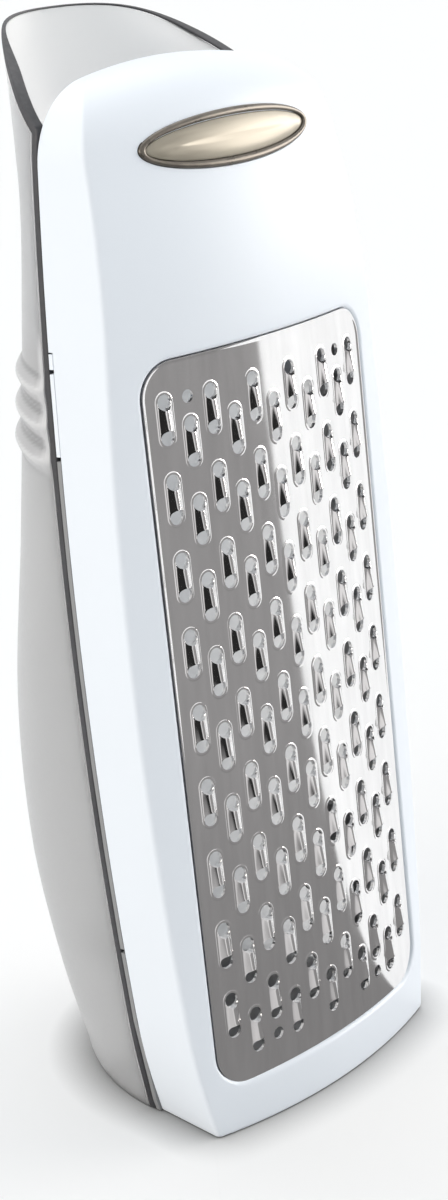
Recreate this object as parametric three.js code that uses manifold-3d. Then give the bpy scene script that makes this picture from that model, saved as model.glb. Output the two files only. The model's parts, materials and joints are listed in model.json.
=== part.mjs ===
// Parmesan grater: a leaning white front carries an arched steel grating plate, and a grey container behind it
// catches the cheese and pours it out over a lip at the top. The container pulls off backwards.
// Millimetres, +Z up, the front faces -Y, and the origin is under the middle of the whole object.
// Pieces are drawn in the front's own leaning frame: x across, y back from the front's apex line, z up along it.

import * as THREE from 'three';
import { mergeGeometries, mergeVertices } from 'three/addons/utils/BufferGeometryUtils.js';
import Module from 'manifold-3d';

// Whole object
const LEAN = 7.9; // degrees the front leans back
const GAP = 0.3; // clearance between neighbouring pieces

// Front cover
const FRONT_RADIUS = 113; // arch of the front across its width
const HALF_WIDTH = 37; // at the widest height
const WIDEST_HEIGHT = 87;
const SIDE_RADIUS = 833; // barrel curve of both sides
const FOOT_TUCK = 1.6; // sides draw in this much more at the foot
const TUCK_HEIGHT = 22;
const BOW_MARGIN = 0.6; // window's top edge to where the front begins to bow back
const BOW_RISE = 37; // height of the bowed stretch
const BOW_RADIUS = 165;
const ROLL_RADIUS = 14; // rolled top
const CORNER_RADIUS = 15; // top corners seen from the front
const COVER_DEPTH = 18; // apex line to the back edge beside the plate frame
const COVER_WALL = 2.2;
const COVER_FLOOR = 2;

// Window and grating plate
const SIDE_MARGIN = 7.8; // cover's widest edge to the window
const WINDOW_FOOT = 9.4;
const WINDOW_HEIGHT = 135;
const WINDOW_CORNER = 6.5;
const PLATE_RECESS = 0.5; // plate face below the cover's face
const PLATE_THICKNESS = 0.6;
const COLUMN_PITCH = 5;
const ROW_PITCH = 13.87;
const ROW_STAGGER = 4.7; // every other column sits lower by this
const TOP_ROW_DROP = 7; // plate's top edge to the centre of the first hole
const HOLE_RADIUS = 1.35;
const HOLE_SPACING = 6.19; // the two holes of one tooth
const STRAP_START = 0.4; // height of a strap at its upper hole
const STRAP_HEIGHT = 1.2; // height at its lower, cutting end
const STRAP_FOOT = 2.8;
const STRAP_TOP = 0.8;
const PLAIN_HOLE_RADIUS = 1.15;
const PLAIN_TOP_COLUMN = 4; // columns from the middle to the plain holes near the plate's top edge
const PLAIN_TOP_DROP = 6.9;
const PLAIN_FOOT_COLUMN = 3; // and near its bottom edge
const PLAIN_FOOT_RISE = 6.5;

// Plate frame
const FRAME_WALL = 1.6;
const FRAME_LAP = 2.6; // reach behind the cover, above the window
const LEDGE = 2.5; // support behind the plate's edge
const STRIP = 0.9; // flange that shows between cover and container
const TONGUE_THICKNESS = 1.6;
const TONGUE_REACH = 6; // past the container's front edge
const TONGUE_ROOT = 6; // hold inside the frame's wall
const GRIP_TONGUE = 15; // height of the upper tongues, beside the grip ribs
const FOOT_TONGUE = 8; // height of the lower tongues
const FOOT_TONGUE_LOW = 33;
const SLIT = 0.8; // frees the upper tongues' ends to flex

// Container and its edging
const SEAL_THICKNESS = 1.2;
const CONTAINER_WALL = 2.2;
const CONTAINER_FLOOR = 2.4;
const SECTION_POWER = 2.3; // roundness of the container's plan: 2 is an ellipse
const BELLY = [
  [0, 20.5],
  [6, 30.6],
  [12, 32.3],
  [28, 37.1],
  [50, 40.3],
  [80, 37.4],
]; // height above the foot, depth behind the edging
const NECK = [
  [91, 27.2],
  [56, 18.7],
  [28, 15.8],
  [0, 27.6],
]; // drop below the lip, depth behind the edging
const LIP_RISE = 13; // lip's end above the cover's top
const LIP_LENGTH = 28; // the lip draws in over this
const LIP_HALF_WIDTH = 24.1;
const LIP_START_DROP = 8.9; // cover's top to where the edging leaves the front
const LIP_RUN = [
  [0, 0],
  [10.5, 9.9],
  [20.5, 16.6],
  [30, 19.4],
  [44, 22],
]; // edging path after that: back, up
const RIB_COUNT = 3;
const RIB_DROP = 0.4; // window's top edge to the middle of the top rib
const RIB_PITCH = 6.2;
const RIB_WIDTH = 5;
const RIB_HEIGHT = 1.2;
const RIB_TAPER = 4; // length over which a rib runs out near the edging
const RIB_REACH = 14; // ribs fade out this far from the middle of the back

// Badge
const BADGE_DROP = 14.16; // cover's top to the badge's middle
const BADGE_WIDTH = 43.5;
const BADGE_TALL = 9.6;
const BEZEL_WIDTH = 1.1;
const BEZEL_PROUD = 0.7;
const INLAY_PROUD = 0.4;
const BADGE_SEAT = 1.2; // depth of the recess in the cover

// Facet counts
const SIDE_STEPS = 11;
const CORNER_STEPS = 6;
const BOW_STEPS = 4;
const ROLL_STEPS = 6;
const SECTION_STEPS = 18;
const LEVEL_STEPS = 2; // between two knots of the container's depth
const RIB_STEPS = 4;
const LIP_STEPS = 10;
const HOLE_SIDES = 6;
const OVAL_STEPS = 24;

// Reach of cutting solids past what they cut, and the distance under which points are one
const PAST = 12;
const FAR = 120;
const WELD = 1e-4;

const lean = THREE.MathUtils.degToRad(LEAN);
const windowWidth = 2 * (HALF_WIDTH - SIDE_MARGIN);
const windowTop = WINDOW_FOOT + WINDOW_HEIGHT;
const bowStart = windowTop + BOW_MARGIN;
const bowAngle = Math.asin(BOW_RISE / BOW_RADIUS);
const rollCentre = new THREE.Vector2(
  BOW_RADIUS - (BOW_RADIUS - ROLL_RADIUS) * Math.cos(bowAngle),
  bowStart + (BOW_RADIUS - ROLL_RADIUS) * Math.sin(bowAngle),
);
const coverTop = rollCentre.y + ROLL_RADIUS;
const badgeHeight = coverTop - BADGE_DROP;
const frameTop = windowTop + FRAME_LAP;
const frameDepth = COVER_WALL + GAP;
const stripFront = COVER_DEPTH + GAP;
const coverBack = stripFront + STRIP;
const sealFront = coverBack + GAP;
const containerFront = sealFront + SEAL_THICKNESS + GAP;
const plateBack = PLATE_RECESS + PLATE_THICKNESS;
const lipTop = coverTop + LIP_RISE;
const depthKnots = [...BELLY, ...NECK.map(([drop, depth]) => [lipTop - drop, depth])];
const ribTop = windowTop - RIB_DROP;
const gripSpan = { low: ribTop - GRIP_TONGUE, high: ribTop };
const footSpan = { low: FOOT_TONGUE_LOW, high: FOOT_TONGUE_LOW + FOOT_TONGUE };

const wasm = await Module();
wasm.setup();

// Solids from three.js geometry and back

function solid(geometry) {
  const bare = geometry.index ? geometry.toNonIndexed() : geometry.clone();
  bare.deleteAttribute('normal');
  bare.deleteAttribute('uv');
  const merged = mergeVertices(bare, WELD);
  const mesh = new wasm.Mesh({
    numProp: 3,
    vertProperties: new Float32Array(merged.attributes.position.array),
    triVerts: new Uint32Array(merged.index.array),
  });
  return new wasm.Manifold(mesh);
}

function piece(name, body, color, roughness, metalness) {
  const { vertProperties, triVerts } = body.getMesh();
  const geometry = new THREE.BufferGeometry();
  geometry.setAttribute('position', new THREE.BufferAttribute(vertProperties, 3));
  geometry.setIndex(new THREE.BufferAttribute(triVerts, 1));
  geometry.computeVertexNormals();
  const material = new THREE.MeshStandardMaterial({ color, roughness, metalness });
  const mesh = new THREE.Mesh(geometry, material);
  mesh.name = name;
  return mesh;
}

// A closed body through convex rings of equal length, each running the same way round
function loft(rings) {
  const size = rings[0].length;
  const positions = rings.flat().flatMap((p) => [p.x, p.y, p.z]);
  const index = [];
  const last = (rings.length - 1) * size;
  for (let r = 0; r < rings.length - 1; r += 1) {
    for (let i = 0; i < size; i += 1) {
      const next = (i + 1) % size;
      const a = r * size + i;
      const b = r * size + next;
      index.push(a, b, b + size, a, b + size, a + size);
    }
  }
  for (let i = 1; i < size - 1; i += 1) {
    index.push(0, i + 1, i);
    index.push(last, last + i, last + i + 1);
  }
  const geometry = new THREE.BufferGeometry();
  geometry.setAttribute('position', new THREE.Float32BufferAttribute(positions, 3));
  geometry.setIndex(index);
  return solid(geometry);
}

// A front-view shape pushed back from y = from to y = to
function pushed(shape, from, to) {
  const geometry = new THREE.ExtrudeGeometry(shape, { depth: to - from, bevelEnabled: false });
  geometry.rotateX(Math.PI / 2);
  geometry.translate(0, to, 0);
  return solid(geometry);
}

// Everything above a height over the table
function above(height) {
  const geometry = new THREE.BoxGeometry(2 * FAR, 2 * FAR, 4 * FAR);
  geometry.translate(0, 0, 2 * FAR + height);
  geometry.rotateX(lean);
  return solid(geometry);
}

// Everything between two heights along the front, behind y = from
function band(low, high, from) {
  const geometry = new THREE.BoxGeometry(2 * FAR, FAR, high - low);
  geometry.translate(0, from + FAR / 2, (low + high) / 2);
  return solid(geometry);
}

function steps(count, from, to) {
  return Array.from({ length: count + 1 }, (_, i) => from + ((to - from) * i) / count);
}

// A smooth curve through [position, value] knots
function through(knots, at) {
  const slope = (i) => {
    const a = knots[Math.max(i - 1, 0)];
    const b = knots[Math.min(i + 1, knots.length - 1)];
    return (b[1] - a[1]) / (b[0] - a[0]);
  };
  const found = knots.findIndex(([position]) => position > at);
  const right = found < 0 ? knots.length - 1 : Math.max(found, 1);
  const [x0, y0] = knots[right - 1];
  const [x1, y1] = knots[right];
  const span = x1 - x0;
  const t = (at - x0) / span;
  const hold = (1 + 2 * t) * (1 - t) ** 2 * y0 + t ** 2 * (3 - 2 * t) * y1;
  const turn = t * (1 - t) ** 2 * slope(right - 1) + t ** 2 * (t - 1) * slope(right);
  return hold + span * turn;
}

// The front's outer form

function halfWidth(height) {
  const rise = height - WIDEST_HEIGHT;
  const tuck = Math.max(1 - height / TUCK_HEIGHT, 0);
  return HALF_WIDTH - SIDE_RADIUS + Math.sqrt(SIDE_RADIUS ** 2 - rise ** 2) - FOOT_TUCK * tuck ** 2;
}

function archDrop(x) {
  return FRONT_RADIUS - Math.sqrt(FRONT_RADIUS ** 2 - x ** 2);
}

// Side view of the front at a depth below its face: straight, bowed back, then rolled over the top
function profile(depth) {
  const points = [new THREE.Vector2(depth, -PAST)];
  for (const angle of steps(BOW_STEPS, 0, bowAngle)) {
    const reach = BOW_RADIUS - depth;
    const y = BOW_RADIUS - reach * Math.cos(angle);
    points.push(new THREE.Vector2(y, bowStart + reach * Math.sin(angle)));
  }
  for (const angle of steps(ROLL_STEPS, bowAngle, Math.PI / 2).slice(1)) {
    const reach = ROLL_RADIUS - depth;
    const y = rollCentre.x - reach * Math.cos(angle);
    points.push(new THREE.Vector2(y, rollCentre.y + reach * Math.sin(angle)));
  }
  points.push(new THREE.Vector2(FAR, points.at(-1).y));
  points.push(new THREE.Vector2(FAR, -PAST));
  return points;
}

// All that lies behind the front's face by at least a depth
function behindFace(depth) {
  const outermost = Math.ceil(HALF_WIDTH / COLUMN_PITCH);
  const rings = steps(2 * outermost + 1, -outermost - 0.5, outermost + 0.5).map((column) => {
    const x = FRONT_RADIUS * Math.sin((column * COLUMN_PITCH) / FRONT_RADIUS);
    return profile(depth + archDrop(x)).map((p) => new THREE.Vector3(x, p.x, p.y)).reverse();
  });
  return loft(rings);
}

// Front view of the cover, drawn in by an inset: barrel sides, round top corners, low arch between them
function outline(inset) {
  const cornerX = halfWidth(coverTop - CORNER_RADIUS) - CORNER_RADIUS;
  const cornerZ = coverTop - archDrop(cornerX) + GAP - CORNER_RADIUS;
  const right = steps(SIDE_STEPS, -PAST, cornerZ).map(
    (z) => new THREE.Vector2(halfWidth(z) - inset, z),
  );
  const cornerEdge = halfWidth(cornerZ) - cornerX - inset;
  for (const angle of steps(CORNER_STEPS, 0, Math.PI / 2).slice(1)) {
    const x = cornerX + cornerEdge * Math.cos(angle);
    right.push(new THREE.Vector2(x, cornerZ + (CORNER_RADIUS - inset) * Math.sin(angle)));
  }
  const apex = new THREE.Vector2(0, coverTop + 2 * GAP - inset);
  const left = right.map((p) => new THREE.Vector2(-p.x, p.y)).reverse();
  return new THREE.Shape([...right, apex, ...left]);
}

function coverForm(inset, floor, back) {
  return pushed(outline(inset), -PAST, back).intersect(behindFace(inset)).intersect(above(floor));
}

function roundedWindow(inset) {
  const x = windowWidth / 2 - inset;
  const low = WINDOW_FOOT + inset;
  const high = windowTop - inset;
  const r = Math.max(WINDOW_CORNER - inset, GAP);
  const shape = new THREE.Shape();
  shape.moveTo(x - r, low);
  shape.absarc(x - r, low + r, r, -Math.PI / 2, 0);
  shape.absarc(x - r, high - r, r, 0, Math.PI / 2);
  shape.absarc(-x + r, high - r, r, Math.PI / 2, Math.PI);
  shape.absarc(-x + r, low + r, r, Math.PI, 1.5 * Math.PI);
  const points = shape.extractPoints(CORNER_STEPS).shape;
  return pushed(new THREE.Shape(points), -PAST, COVER_DEPTH);
}

// Moves geometry drawn about the apex line to an arc length across the front and a height
function onFront(geometry, across, height) {
  geometry.translate(0, -FRONT_RADIUS, height);
  geometry.rotateZ(across / FRONT_RADIUS);
  geometry.translate(0, FRONT_RADIUS, 0);
  return geometry.index ? geometry.toNonIndexed() : geometry;
}

// Badge: an oval ring and its face, seated in a shallow recess

function badgeOval(inset) {
  const shape = new THREE.Shape();
  shape.absellipse(0, badgeHeight, BADGE_WIDTH / 2 - inset, BADGE_TALL / 2 - inset, 0, 2 * Math.PI);
  return pushed(new THREE.Shape(shape.getPoints(OVAL_STEPS).slice(0, -1)), -PAST, COVER_DEPTH);
}

function layer(shallow, deep) {
  return behindFace(shallow).subtract(behindFace(deep));
}

const bezelBody = badgeOval(GAP)
  .subtract(badgeOval(GAP + BEZEL_WIDTH))
  .intersect(layer(-BEZEL_PROUD, BADGE_SEAT - GAP));
const inlayBody = badgeOval(2 * GAP + BEZEL_WIDTH).intersect(layer(-INLAY_PROUD, BADGE_SEAT - GAP));

// Front cover: the outer form hollowed from behind, cut for the window, the badge and the frame's flange

const flangeRebate = band(-PAST, frameTop + GAP, COVER_DEPTH);
const badgeRecess = badgeOval(0).subtract(behindFace(BADGE_SEAT));
const coverBody = coverForm(0, 0, coverBack)
  .subtract(coverForm(COVER_WALL, COVER_FLOOR, FAR))
  .subtract(roundedWindow(0))
  .subtract(badgeRecess)
  .subtract(flangeRebate);

// Grating plate: an arched sheet with paired holes, each pair joined by a strap that rises to its lower end

function plateHole(radius) {
  return new THREE.CylinderGeometry(radius, radius, PAST, HOLE_SIDES);
}

function toothStrap() {
  const crest = PLATE_RECESS - STRAP_HEIGHT;
  const foot = PLATE_RECESS + PLATE_THICKNESS / 2;
  const section = new THREE.Shape([
    new THREE.Vector2(-STRAP_FOOT / 2, foot),
    new THREE.Vector2(-STRAP_TOP / 2, crest),
    new THREE.Vector2(STRAP_TOP / 2, crest),
    new THREE.Vector2(STRAP_FOOT / 2, foot),
  ]);
  const depth = HOLE_SPACING - 2 * HOLE_RADIUS - GAP;
  const geometry = new THREE.ExtrudeGeometry(section, { depth, bevelEnabled: false });
  const corners = geometry.attributes.position;
  for (let i = 0; i < corners.count; i += 1) {
    if (corners.getZ(i) > depth / 2 && corners.getY(i) < PLATE_RECESS) {
      corners.setY(i, PLATE_RECESS - STRAP_START);
    }
  }
  return geometry.translate(0, 0, -depth / 2);
}

const holes = [];
const straps = [];
const edgeClear = LEDGE + HOLE_RADIUS;
const sideColumns = Math.floor((windowWidth / 2 - edgeClear) / COLUMN_PITCH);
const rowRoom = WINDOW_HEIGHT - TOP_ROW_DROP - ROW_STAGGER - HOLE_SPACING - edgeClear;
const lastRow = Math.floor(rowRoom / ROW_PITCH);
for (let column = -sideColumns; column <= sideColumns; column += 1) {
  const across = column * COLUMN_PITCH;
  const lowered = (column + sideColumns) % 2;
  for (let row = 0; row <= lastRow; row += 1) {
    const upper = windowTop - TOP_ROW_DROP - row * ROW_PITCH - lowered * ROW_STAGGER;
    holes.push(onFront(plateHole(HOLE_RADIUS), across, upper));
    holes.push(onFront(plateHole(HOLE_RADIUS), across, upper - HOLE_SPACING));
    straps.push(onFront(toothStrap(), across, upper - HOLE_SPACING / 2));
  }
}
for (const side of [-1, 1]) {
  const topAcross = side * PLAIN_TOP_COLUMN * COLUMN_PITCH;
  const footAcross = side * PLAIN_FOOT_COLUMN * COLUMN_PITCH;
  holes.push(onFront(plateHole(PLAIN_HOLE_RADIUS), topAcross, windowTop - PLAIN_TOP_DROP));
  holes.push(onFront(plateHole(PLAIN_HOLE_RADIUS), footAcross, WINDOW_FOOT + PLAIN_FOOT_RISE));
}
const plateBody = roundedWindow(GAP)
  .intersect(layer(PLATE_RECESS, plateBack))
  .subtract(solid(mergeGeometries(holes)))
  .add(solid(mergeGeometries(straps)));

// Container: a shell that is deep at the belly, slim at the neck and flared at the pour lip

function containerHalfWidth(height) {
  const lip = THREE.MathUtils.clamp((height - lipTop) / LIP_LENGTH + 1, 0, 1) ** 2;
  return halfWidth(height) * (1 - lip) + LIP_HALF_WIDTH * lip;
}

function ribSwell(height) {
  let swell = 0;
  for (let rib = 0; rib < RIB_COUNT; rib += 1) {
    const off = Math.abs(height - ribTop + rib * RIB_PITCH) / RIB_WIDTH;
    swell = Math.max(swell, off < 0.5 ? Math.cos(Math.PI * off) : 0);
  }
  return RIB_HEIGHT * swell;
}

// Half an oval behind the edging, closed across the front, at one height
function containerRing(height, inset, front) {
  const slope = (through(depthKnots, height + GAP) - through(depthKnots, height)) / GAP;
  const tilt = Math.atan(slope);
  const wide = containerHalfWidth(height) - inset;
  const deep = through(depthKnots, height) - inset * Math.cos(tilt);
  const z = height + inset * Math.sin(tilt);
  const ring = [new THREE.Vector3(wide, front, z)];
  for (const angle of steps(SECTION_STEPS, 0, Math.PI)) {
    const c = Math.cos(angle);
    const x = Math.sign(c) * Math.abs(c) ** (2 / SECTION_POWER);
    const y = Math.max(Math.sin(angle), 0) ** (2 / SECTION_POWER);
    const runIn = THREE.MathUtils.smoothstep(y * deep, 0, RIB_TAPER);
    const runOut = THREE.MathUtils.smoothstep(Math.abs(x) * wide, RIB_REACH, 2 * RIB_REACH);
    const swell = inset > 0 ? 0 : ribSwell(height) * runIn * runOut;
    ring.push(new THREE.Vector3(x * (wide + swell), sealFront + y * (deep + swell), z));
  }
  ring.push(new THREE.Vector3(-wide, front, z));
  return ring;
}

function containerForm(inset, front) {
  const ribsLow = ribTop - (RIB_COUNT - 1) * RIB_PITCH - RIB_WIDTH;
  const levels = [lipTop];
  for (let knot = 1; knot < depthKnots.length; knot += 1) {
    levels.push(...steps(LEVEL_STEPS, depthKnots[knot - 1][0], depthKnots[knot][0]).slice(0, -1));
  }
  const kept = levels.filter((height) => height < ribsLow || height > ribTop + RIB_WIDTH);
  for (let rib = 0; rib < RIB_COUNT; rib += 1) {
    const middle = ribTop - rib * RIB_PITCH;
    kept.push(...steps(RIB_STEPS, middle - RIB_WIDTH / 2, middle + RIB_WIDTH / 2));
  }
  kept.sort((a, b) => a - b);
  return loft(kept.map((height) => containerRing(height, inset, front)));
}

// All that lies behind the edging's front face by a distance: upright at first, then sweeping back to the lip
function behindEdging(distance) {
  const start = coverTop - LIP_START_DROP;
  const curve = new THREE.SplineCurve(
    LIP_RUN.map(([back, up]) => new THREE.Vector2(sealFront + back, start + up)),
  );
  const points = [new THREE.Vector2(sealFront + distance, -PAST)];
  for (const t of steps(LIP_STEPS, 0, 1)) {
    const along = curve.getTangent(t);
    const p = curve.getPoint(t);
    const lift = t === 0 ? Math.tan((Math.PI / 2 - along.angle()) / 2) : 0;
    const shift = t === 0 ? new THREE.Vector2(1, -lift) : new THREE.Vector2(along.y, -along.x);
    points.push(p.addScaledVector(shift, distance));
  }
  points.push(new THREE.Vector2(FAR, points.at(-1).y));
  points.push(new THREE.Vector2(FAR, -PAST));
  const geometry = new THREE.ExtrudeGeometry(new THREE.Shape(points), { depth: FAR, bevelEnabled: false });
  geometry.translate(0, 0, -FAR / 2);
  geometry.applyMatrix4(new THREE.Matrix4().set(0, 0, 1, 0, 1, 0, 0, 0, 0, 1, 0, 0, 0, 0, 0, 1));
  return solid(geometry);
}

const shell = containerForm(0, COVER_DEPTH).subtract(
  containerForm(CONTAINER_WALL, COVER_DEPTH - PAST).intersect(above(CONTAINER_FLOOR)),
);
const containerBody = shell.intersect(behindEdging(SEAL_THICKNESS + GAP)).intersect(above(0));
const sealBody = shell.intersect(behindEdging(0)).subtract(behindEdging(SEAL_THICKNESS)).intersect(above(GAP));

// Plate frame: lines the cover, backs the plate's edge, and carries the tongues that hold the container

function tongue(span, side) {
  const tip = containerFront + TONGUE_REACH;
  const ends = [span.low, span.high];
  const narrow = Math.min(...ends.map(containerHalfWidth));
  const shallow = Math.min(...ends.map((height) => through(depthKnots, height))) - CONTAINER_WALL;
  const share = (1 - ((tip - sealFront) / shallow) ** SECTION_POWER) ** (1 / SECTION_POWER);
  const outer = (narrow - CONTAINER_WALL) * share - GAP;
  const root = narrow - frameDepth - GAP;
  const plan = [
    [outer - TONGUE_THICKNESS, COVER_DEPTH - TONGUE_ROOT],
    [root, COVER_DEPTH - TONGUE_ROOT],
    [root, coverBack],
    [outer, coverBack + TONGUE_THICKNESS],
    [outer, tip],
    [outer - TONGUE_THICKNESS, tip],
  ];
  const shape = new THREE.Shape(plan.map(([x, y]) => new THREE.Vector2(x, y)));
  const geometry = new THREE.ExtrudeGeometry(shape, { depth: span.high - span.low, bevelEnabled: false });
  geometry.translate(0, 0, span.low);
  if (side < 0) {
    geometry.rotateY(Math.PI);
    geometry.translate(0, 0, span.low + span.high);
  }
  return solid(geometry);
}

// A cut through the flange on both sides
function slit(height) {
  const boxes = [-1, 1].map((side) => {
    const geometry = new THREE.BoxGeometry(PAST, STRIP + 2 * GAP, SLIT);
    const x = side * (halfWidth(height) - frameDepth + PAST / 2);
    return geometry.translate(x, stripFront + STRIP / 2, height);
  });
  return solid(mergeGeometries(boxes));
}

const belowFrameTop = band(-PAST, frameTop, -PAST);
const frameHollow = coverForm(frameDepth + FRAME_WALL, COVER_FLOOR + GAP + FRAME_WALL, FAR).intersect(
  band(-PAST, frameTop - FRAME_WALL, -PAST),
);
const flange = pushed(outline(0), stripFront, coverBack).intersect(above(GAP));
const plateSeat = roundedWindow(GAP).intersect(layer(plateBack + GAP, frameDepth + FRAME_WALL));
let frameBody = coverForm(frameDepth, COVER_FLOOR + GAP, coverBack)
  .add(flange)
  .intersect(belowFrameTop)
  .add(plateSeat)
  .subtract(frameHollow)
  .subtract(roundedWindow(LEDGE));
for (const span of [gripSpan, footSpan]) {
  frameBody = frameBody.add(tongue(span, 1)).add(tongue(span, -1));
}
for (const height of [gripSpan.low, gripSpan.high, (footSpan.low + footSpan.high) / 2]) {
  frameBody = frameBody.subtract(slit(height));
}

// Assembly

const leaning = new THREE.Group();
leaning.rotation.x = -lean;
leaning.add(
  piece('front_cover', coverBody, 0xf4f6fa, 0.22, 0),
  piece('grater_plate', plateBody, 0xb9b7b6, 0.24, 1),
  piece('plate_frame', frameBody, 0xb9b9bb, 0.5, 0),
  piece('badge_bezel', bezelBody, 0x4a443e, 0.3, 0.6),
  piece('badge_inlay', inlayBody, 0xc5bdab, 0.35, 0.7),
  piece('container', containerBody, 0xc4c4c6, 0.4, 0),
  piece('rim_seal', sealBody, 0x55565a, 0.6, 0),
);

const grater = new THREE.Group();
grater.add(leaning);
grater.updateMatrixWorld(true);
const reach = new THREE.Box3().setFromObject(grater, true);
leaning.position.set(
  -(reach.min.x + reach.max.x) / 2,
  -(reach.min.y + reach.max.y) / 2,
  -reach.min.z,
);

export default grater;
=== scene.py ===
"""Parmesan grater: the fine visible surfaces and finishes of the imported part, laid out as an add-on.

Pieces are drawn in the front's own leaning frame (x across, y back from the front's apex line, z up along it)
and stood up into the part's frame: metres, +Z up, the front faces -Y.
"""

import json
import math
from bisect import bisect_right

import bmesh
import bpy
from bpy.props import FloatProperty, FloatVectorProperty, IntProperty, PointerProperty
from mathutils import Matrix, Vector
from mathutils.geometry import delaunay_2d_cdt


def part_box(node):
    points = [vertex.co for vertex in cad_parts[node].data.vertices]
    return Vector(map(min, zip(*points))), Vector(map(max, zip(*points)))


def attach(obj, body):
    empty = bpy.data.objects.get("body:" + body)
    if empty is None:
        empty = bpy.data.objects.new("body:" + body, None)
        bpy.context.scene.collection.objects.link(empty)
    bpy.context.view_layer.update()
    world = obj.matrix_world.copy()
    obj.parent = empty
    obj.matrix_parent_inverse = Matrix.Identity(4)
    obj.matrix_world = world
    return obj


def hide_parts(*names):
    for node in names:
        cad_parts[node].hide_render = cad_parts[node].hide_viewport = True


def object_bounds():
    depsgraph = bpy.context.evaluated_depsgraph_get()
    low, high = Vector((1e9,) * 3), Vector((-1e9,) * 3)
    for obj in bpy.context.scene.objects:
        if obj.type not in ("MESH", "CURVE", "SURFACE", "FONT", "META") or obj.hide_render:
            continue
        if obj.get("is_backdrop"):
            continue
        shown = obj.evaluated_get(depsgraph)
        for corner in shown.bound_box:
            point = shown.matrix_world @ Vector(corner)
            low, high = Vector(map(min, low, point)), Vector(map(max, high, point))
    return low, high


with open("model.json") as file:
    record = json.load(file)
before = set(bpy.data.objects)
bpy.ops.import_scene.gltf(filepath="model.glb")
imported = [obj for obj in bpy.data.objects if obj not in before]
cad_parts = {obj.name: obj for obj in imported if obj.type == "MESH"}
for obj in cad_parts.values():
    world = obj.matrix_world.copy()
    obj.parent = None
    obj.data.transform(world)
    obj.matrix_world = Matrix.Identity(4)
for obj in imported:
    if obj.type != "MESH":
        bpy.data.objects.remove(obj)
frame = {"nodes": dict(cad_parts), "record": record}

bl_info = {
    "name": "Parmesan Grater",
    "version": (1, 0, 0),
    "blender": (4, 5, 0),
    "location": "View3D > Sidebar > Grater",
    "description": "Builds the visible pieces of a standing parmesan grater around its packed model",
    "category": "Add Mesh",
}

MM = 0.001
CAD_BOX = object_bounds()
FOOT_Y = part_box("front_cover")[0].y
WELD = 2e-6  # points closer than this are one point
TINY = 1e-7  # sets rows apart without a visible gap
OVAL_STEPS = 96  # points of each of the badge's ovals

# Container depth behind the edging in mm: height above the foot, then drop below the lip
BELLY = [(0, 20.5), (6, 30.6), (12, 32.3), (28, 37.1), (50, 40.3), (80, 37.4)]
NECK = [(91, 27.2), (56, 18.7), (28, 15.8), (0, 27.6)]
# Edging path over the lip in mm: back, up
LIP_RUN = [(0, 0), (10.5, 9.9), (20.5, 16.6), (30, 19.4), (44, 22)]

# Painted reflection of the floor's shade and light, glowing from a sheet that only mirrors see: direction in
# degrees from +X, tone
FAR_REFLECTION_TONES = [(-122, 0.02), (-106, 0.75), (-92, 0.75), (-84, 0.29), (-45, 0.29)]
NEAR_REFLECTION_TONES = [(-130, 0.45), (-106, 0.6), (-92, 0.5), (-84, 0.22), (-45, 0.22)]


def length(name, description, mm):
    """A size in metres whose default is given in millimetres."""
    return FloatProperty(name=name, description=description, default=mm * MM, unit="LENGTH", precision=5)


def shade(name, description, rgb):
    """A linear colour."""
    return FloatVectorProperty(name=name, description=description, default=rgb, min=0, max=1, subtype="COLOR")


def number(name, description, value):
    """A plain number."""
    return FloatProperty(name=name, description=description, default=value)


def whole(name, description, value):
    """A whole number."""
    return IntProperty(name=name, description=description, default=value)


class FrontSizes(bpy.types.PropertyGroup):
    """Sizes of the leaning front: cover and window."""

    lean: FloatProperty(
        name="Lean", description="How far the front leans back", default=math.radians(7.9), unit="ROTATION"
    )
    clearance: length("Clearance", "Gap between neighbouring pieces", 0.3)
    radius: length("Front radius", "Arch of the front across its width", 113)
    half: length("Half width", "Half of the widest width", 36.97)
    widest: length("Widest height", "Height of the widest place", 87)
    side_radius: length("Side radius", "Barrel curve of both sides", 833)
    foot_tuck: length("Foot tuck", "How much the sides draw in at the foot", 1.6)
    tuck_height: length("Tuck height", "Height over which the sides draw in", 22)
    bow_start: length("Bow start", "Height where the front begins to bow back", 145)
    bow_rise: length("Bow rise", "Height of the bowed stretch", 37)
    bow_radius: length("Bow radius", "Radius of the bowed stretch", 165)
    roll_radius: length("Roll radius", "Radius of the rolled top", 14)
    corner: length("Corner radius", "Top corners seen from the front", 15)
    depth: length("Depth", "Apex line to the cover's back edge", 18.2)
    back: length("Top depth", "Apex line to the back edge above the frame", 19.2)
    wall: length("Wall", "Thickness of the cover", 2.2)
    floor: length("Floor", "Thickness of the cover's floor", 2)
    edge: length("Edge round", "Round between the front and the sides", 1.1)
    back_round: length("Back round", "Round of the cover's back edge", 0.12)
    foot: length("Foot round", "Round of the bottom edge", 0.7)
    frame_top: length("Frame top", "Height up to which the frame's flange shows", 147)
    tab_foot: length("Tab foot", "Height where the flange's white upper tab begins", 129)
    window_half: length("Window half width", "Half of the window's width", 29.2)
    window_foot: length("Window foot", "Height of the window's lower edge", 9.4)
    window_height: length("Window height", "Height of the window", 135)
    window_corner: length("Window corner", "Corner radius of the window", 6.5)
    window_round: length("Window round", "Round of the window's front edge", 1.0)


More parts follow.
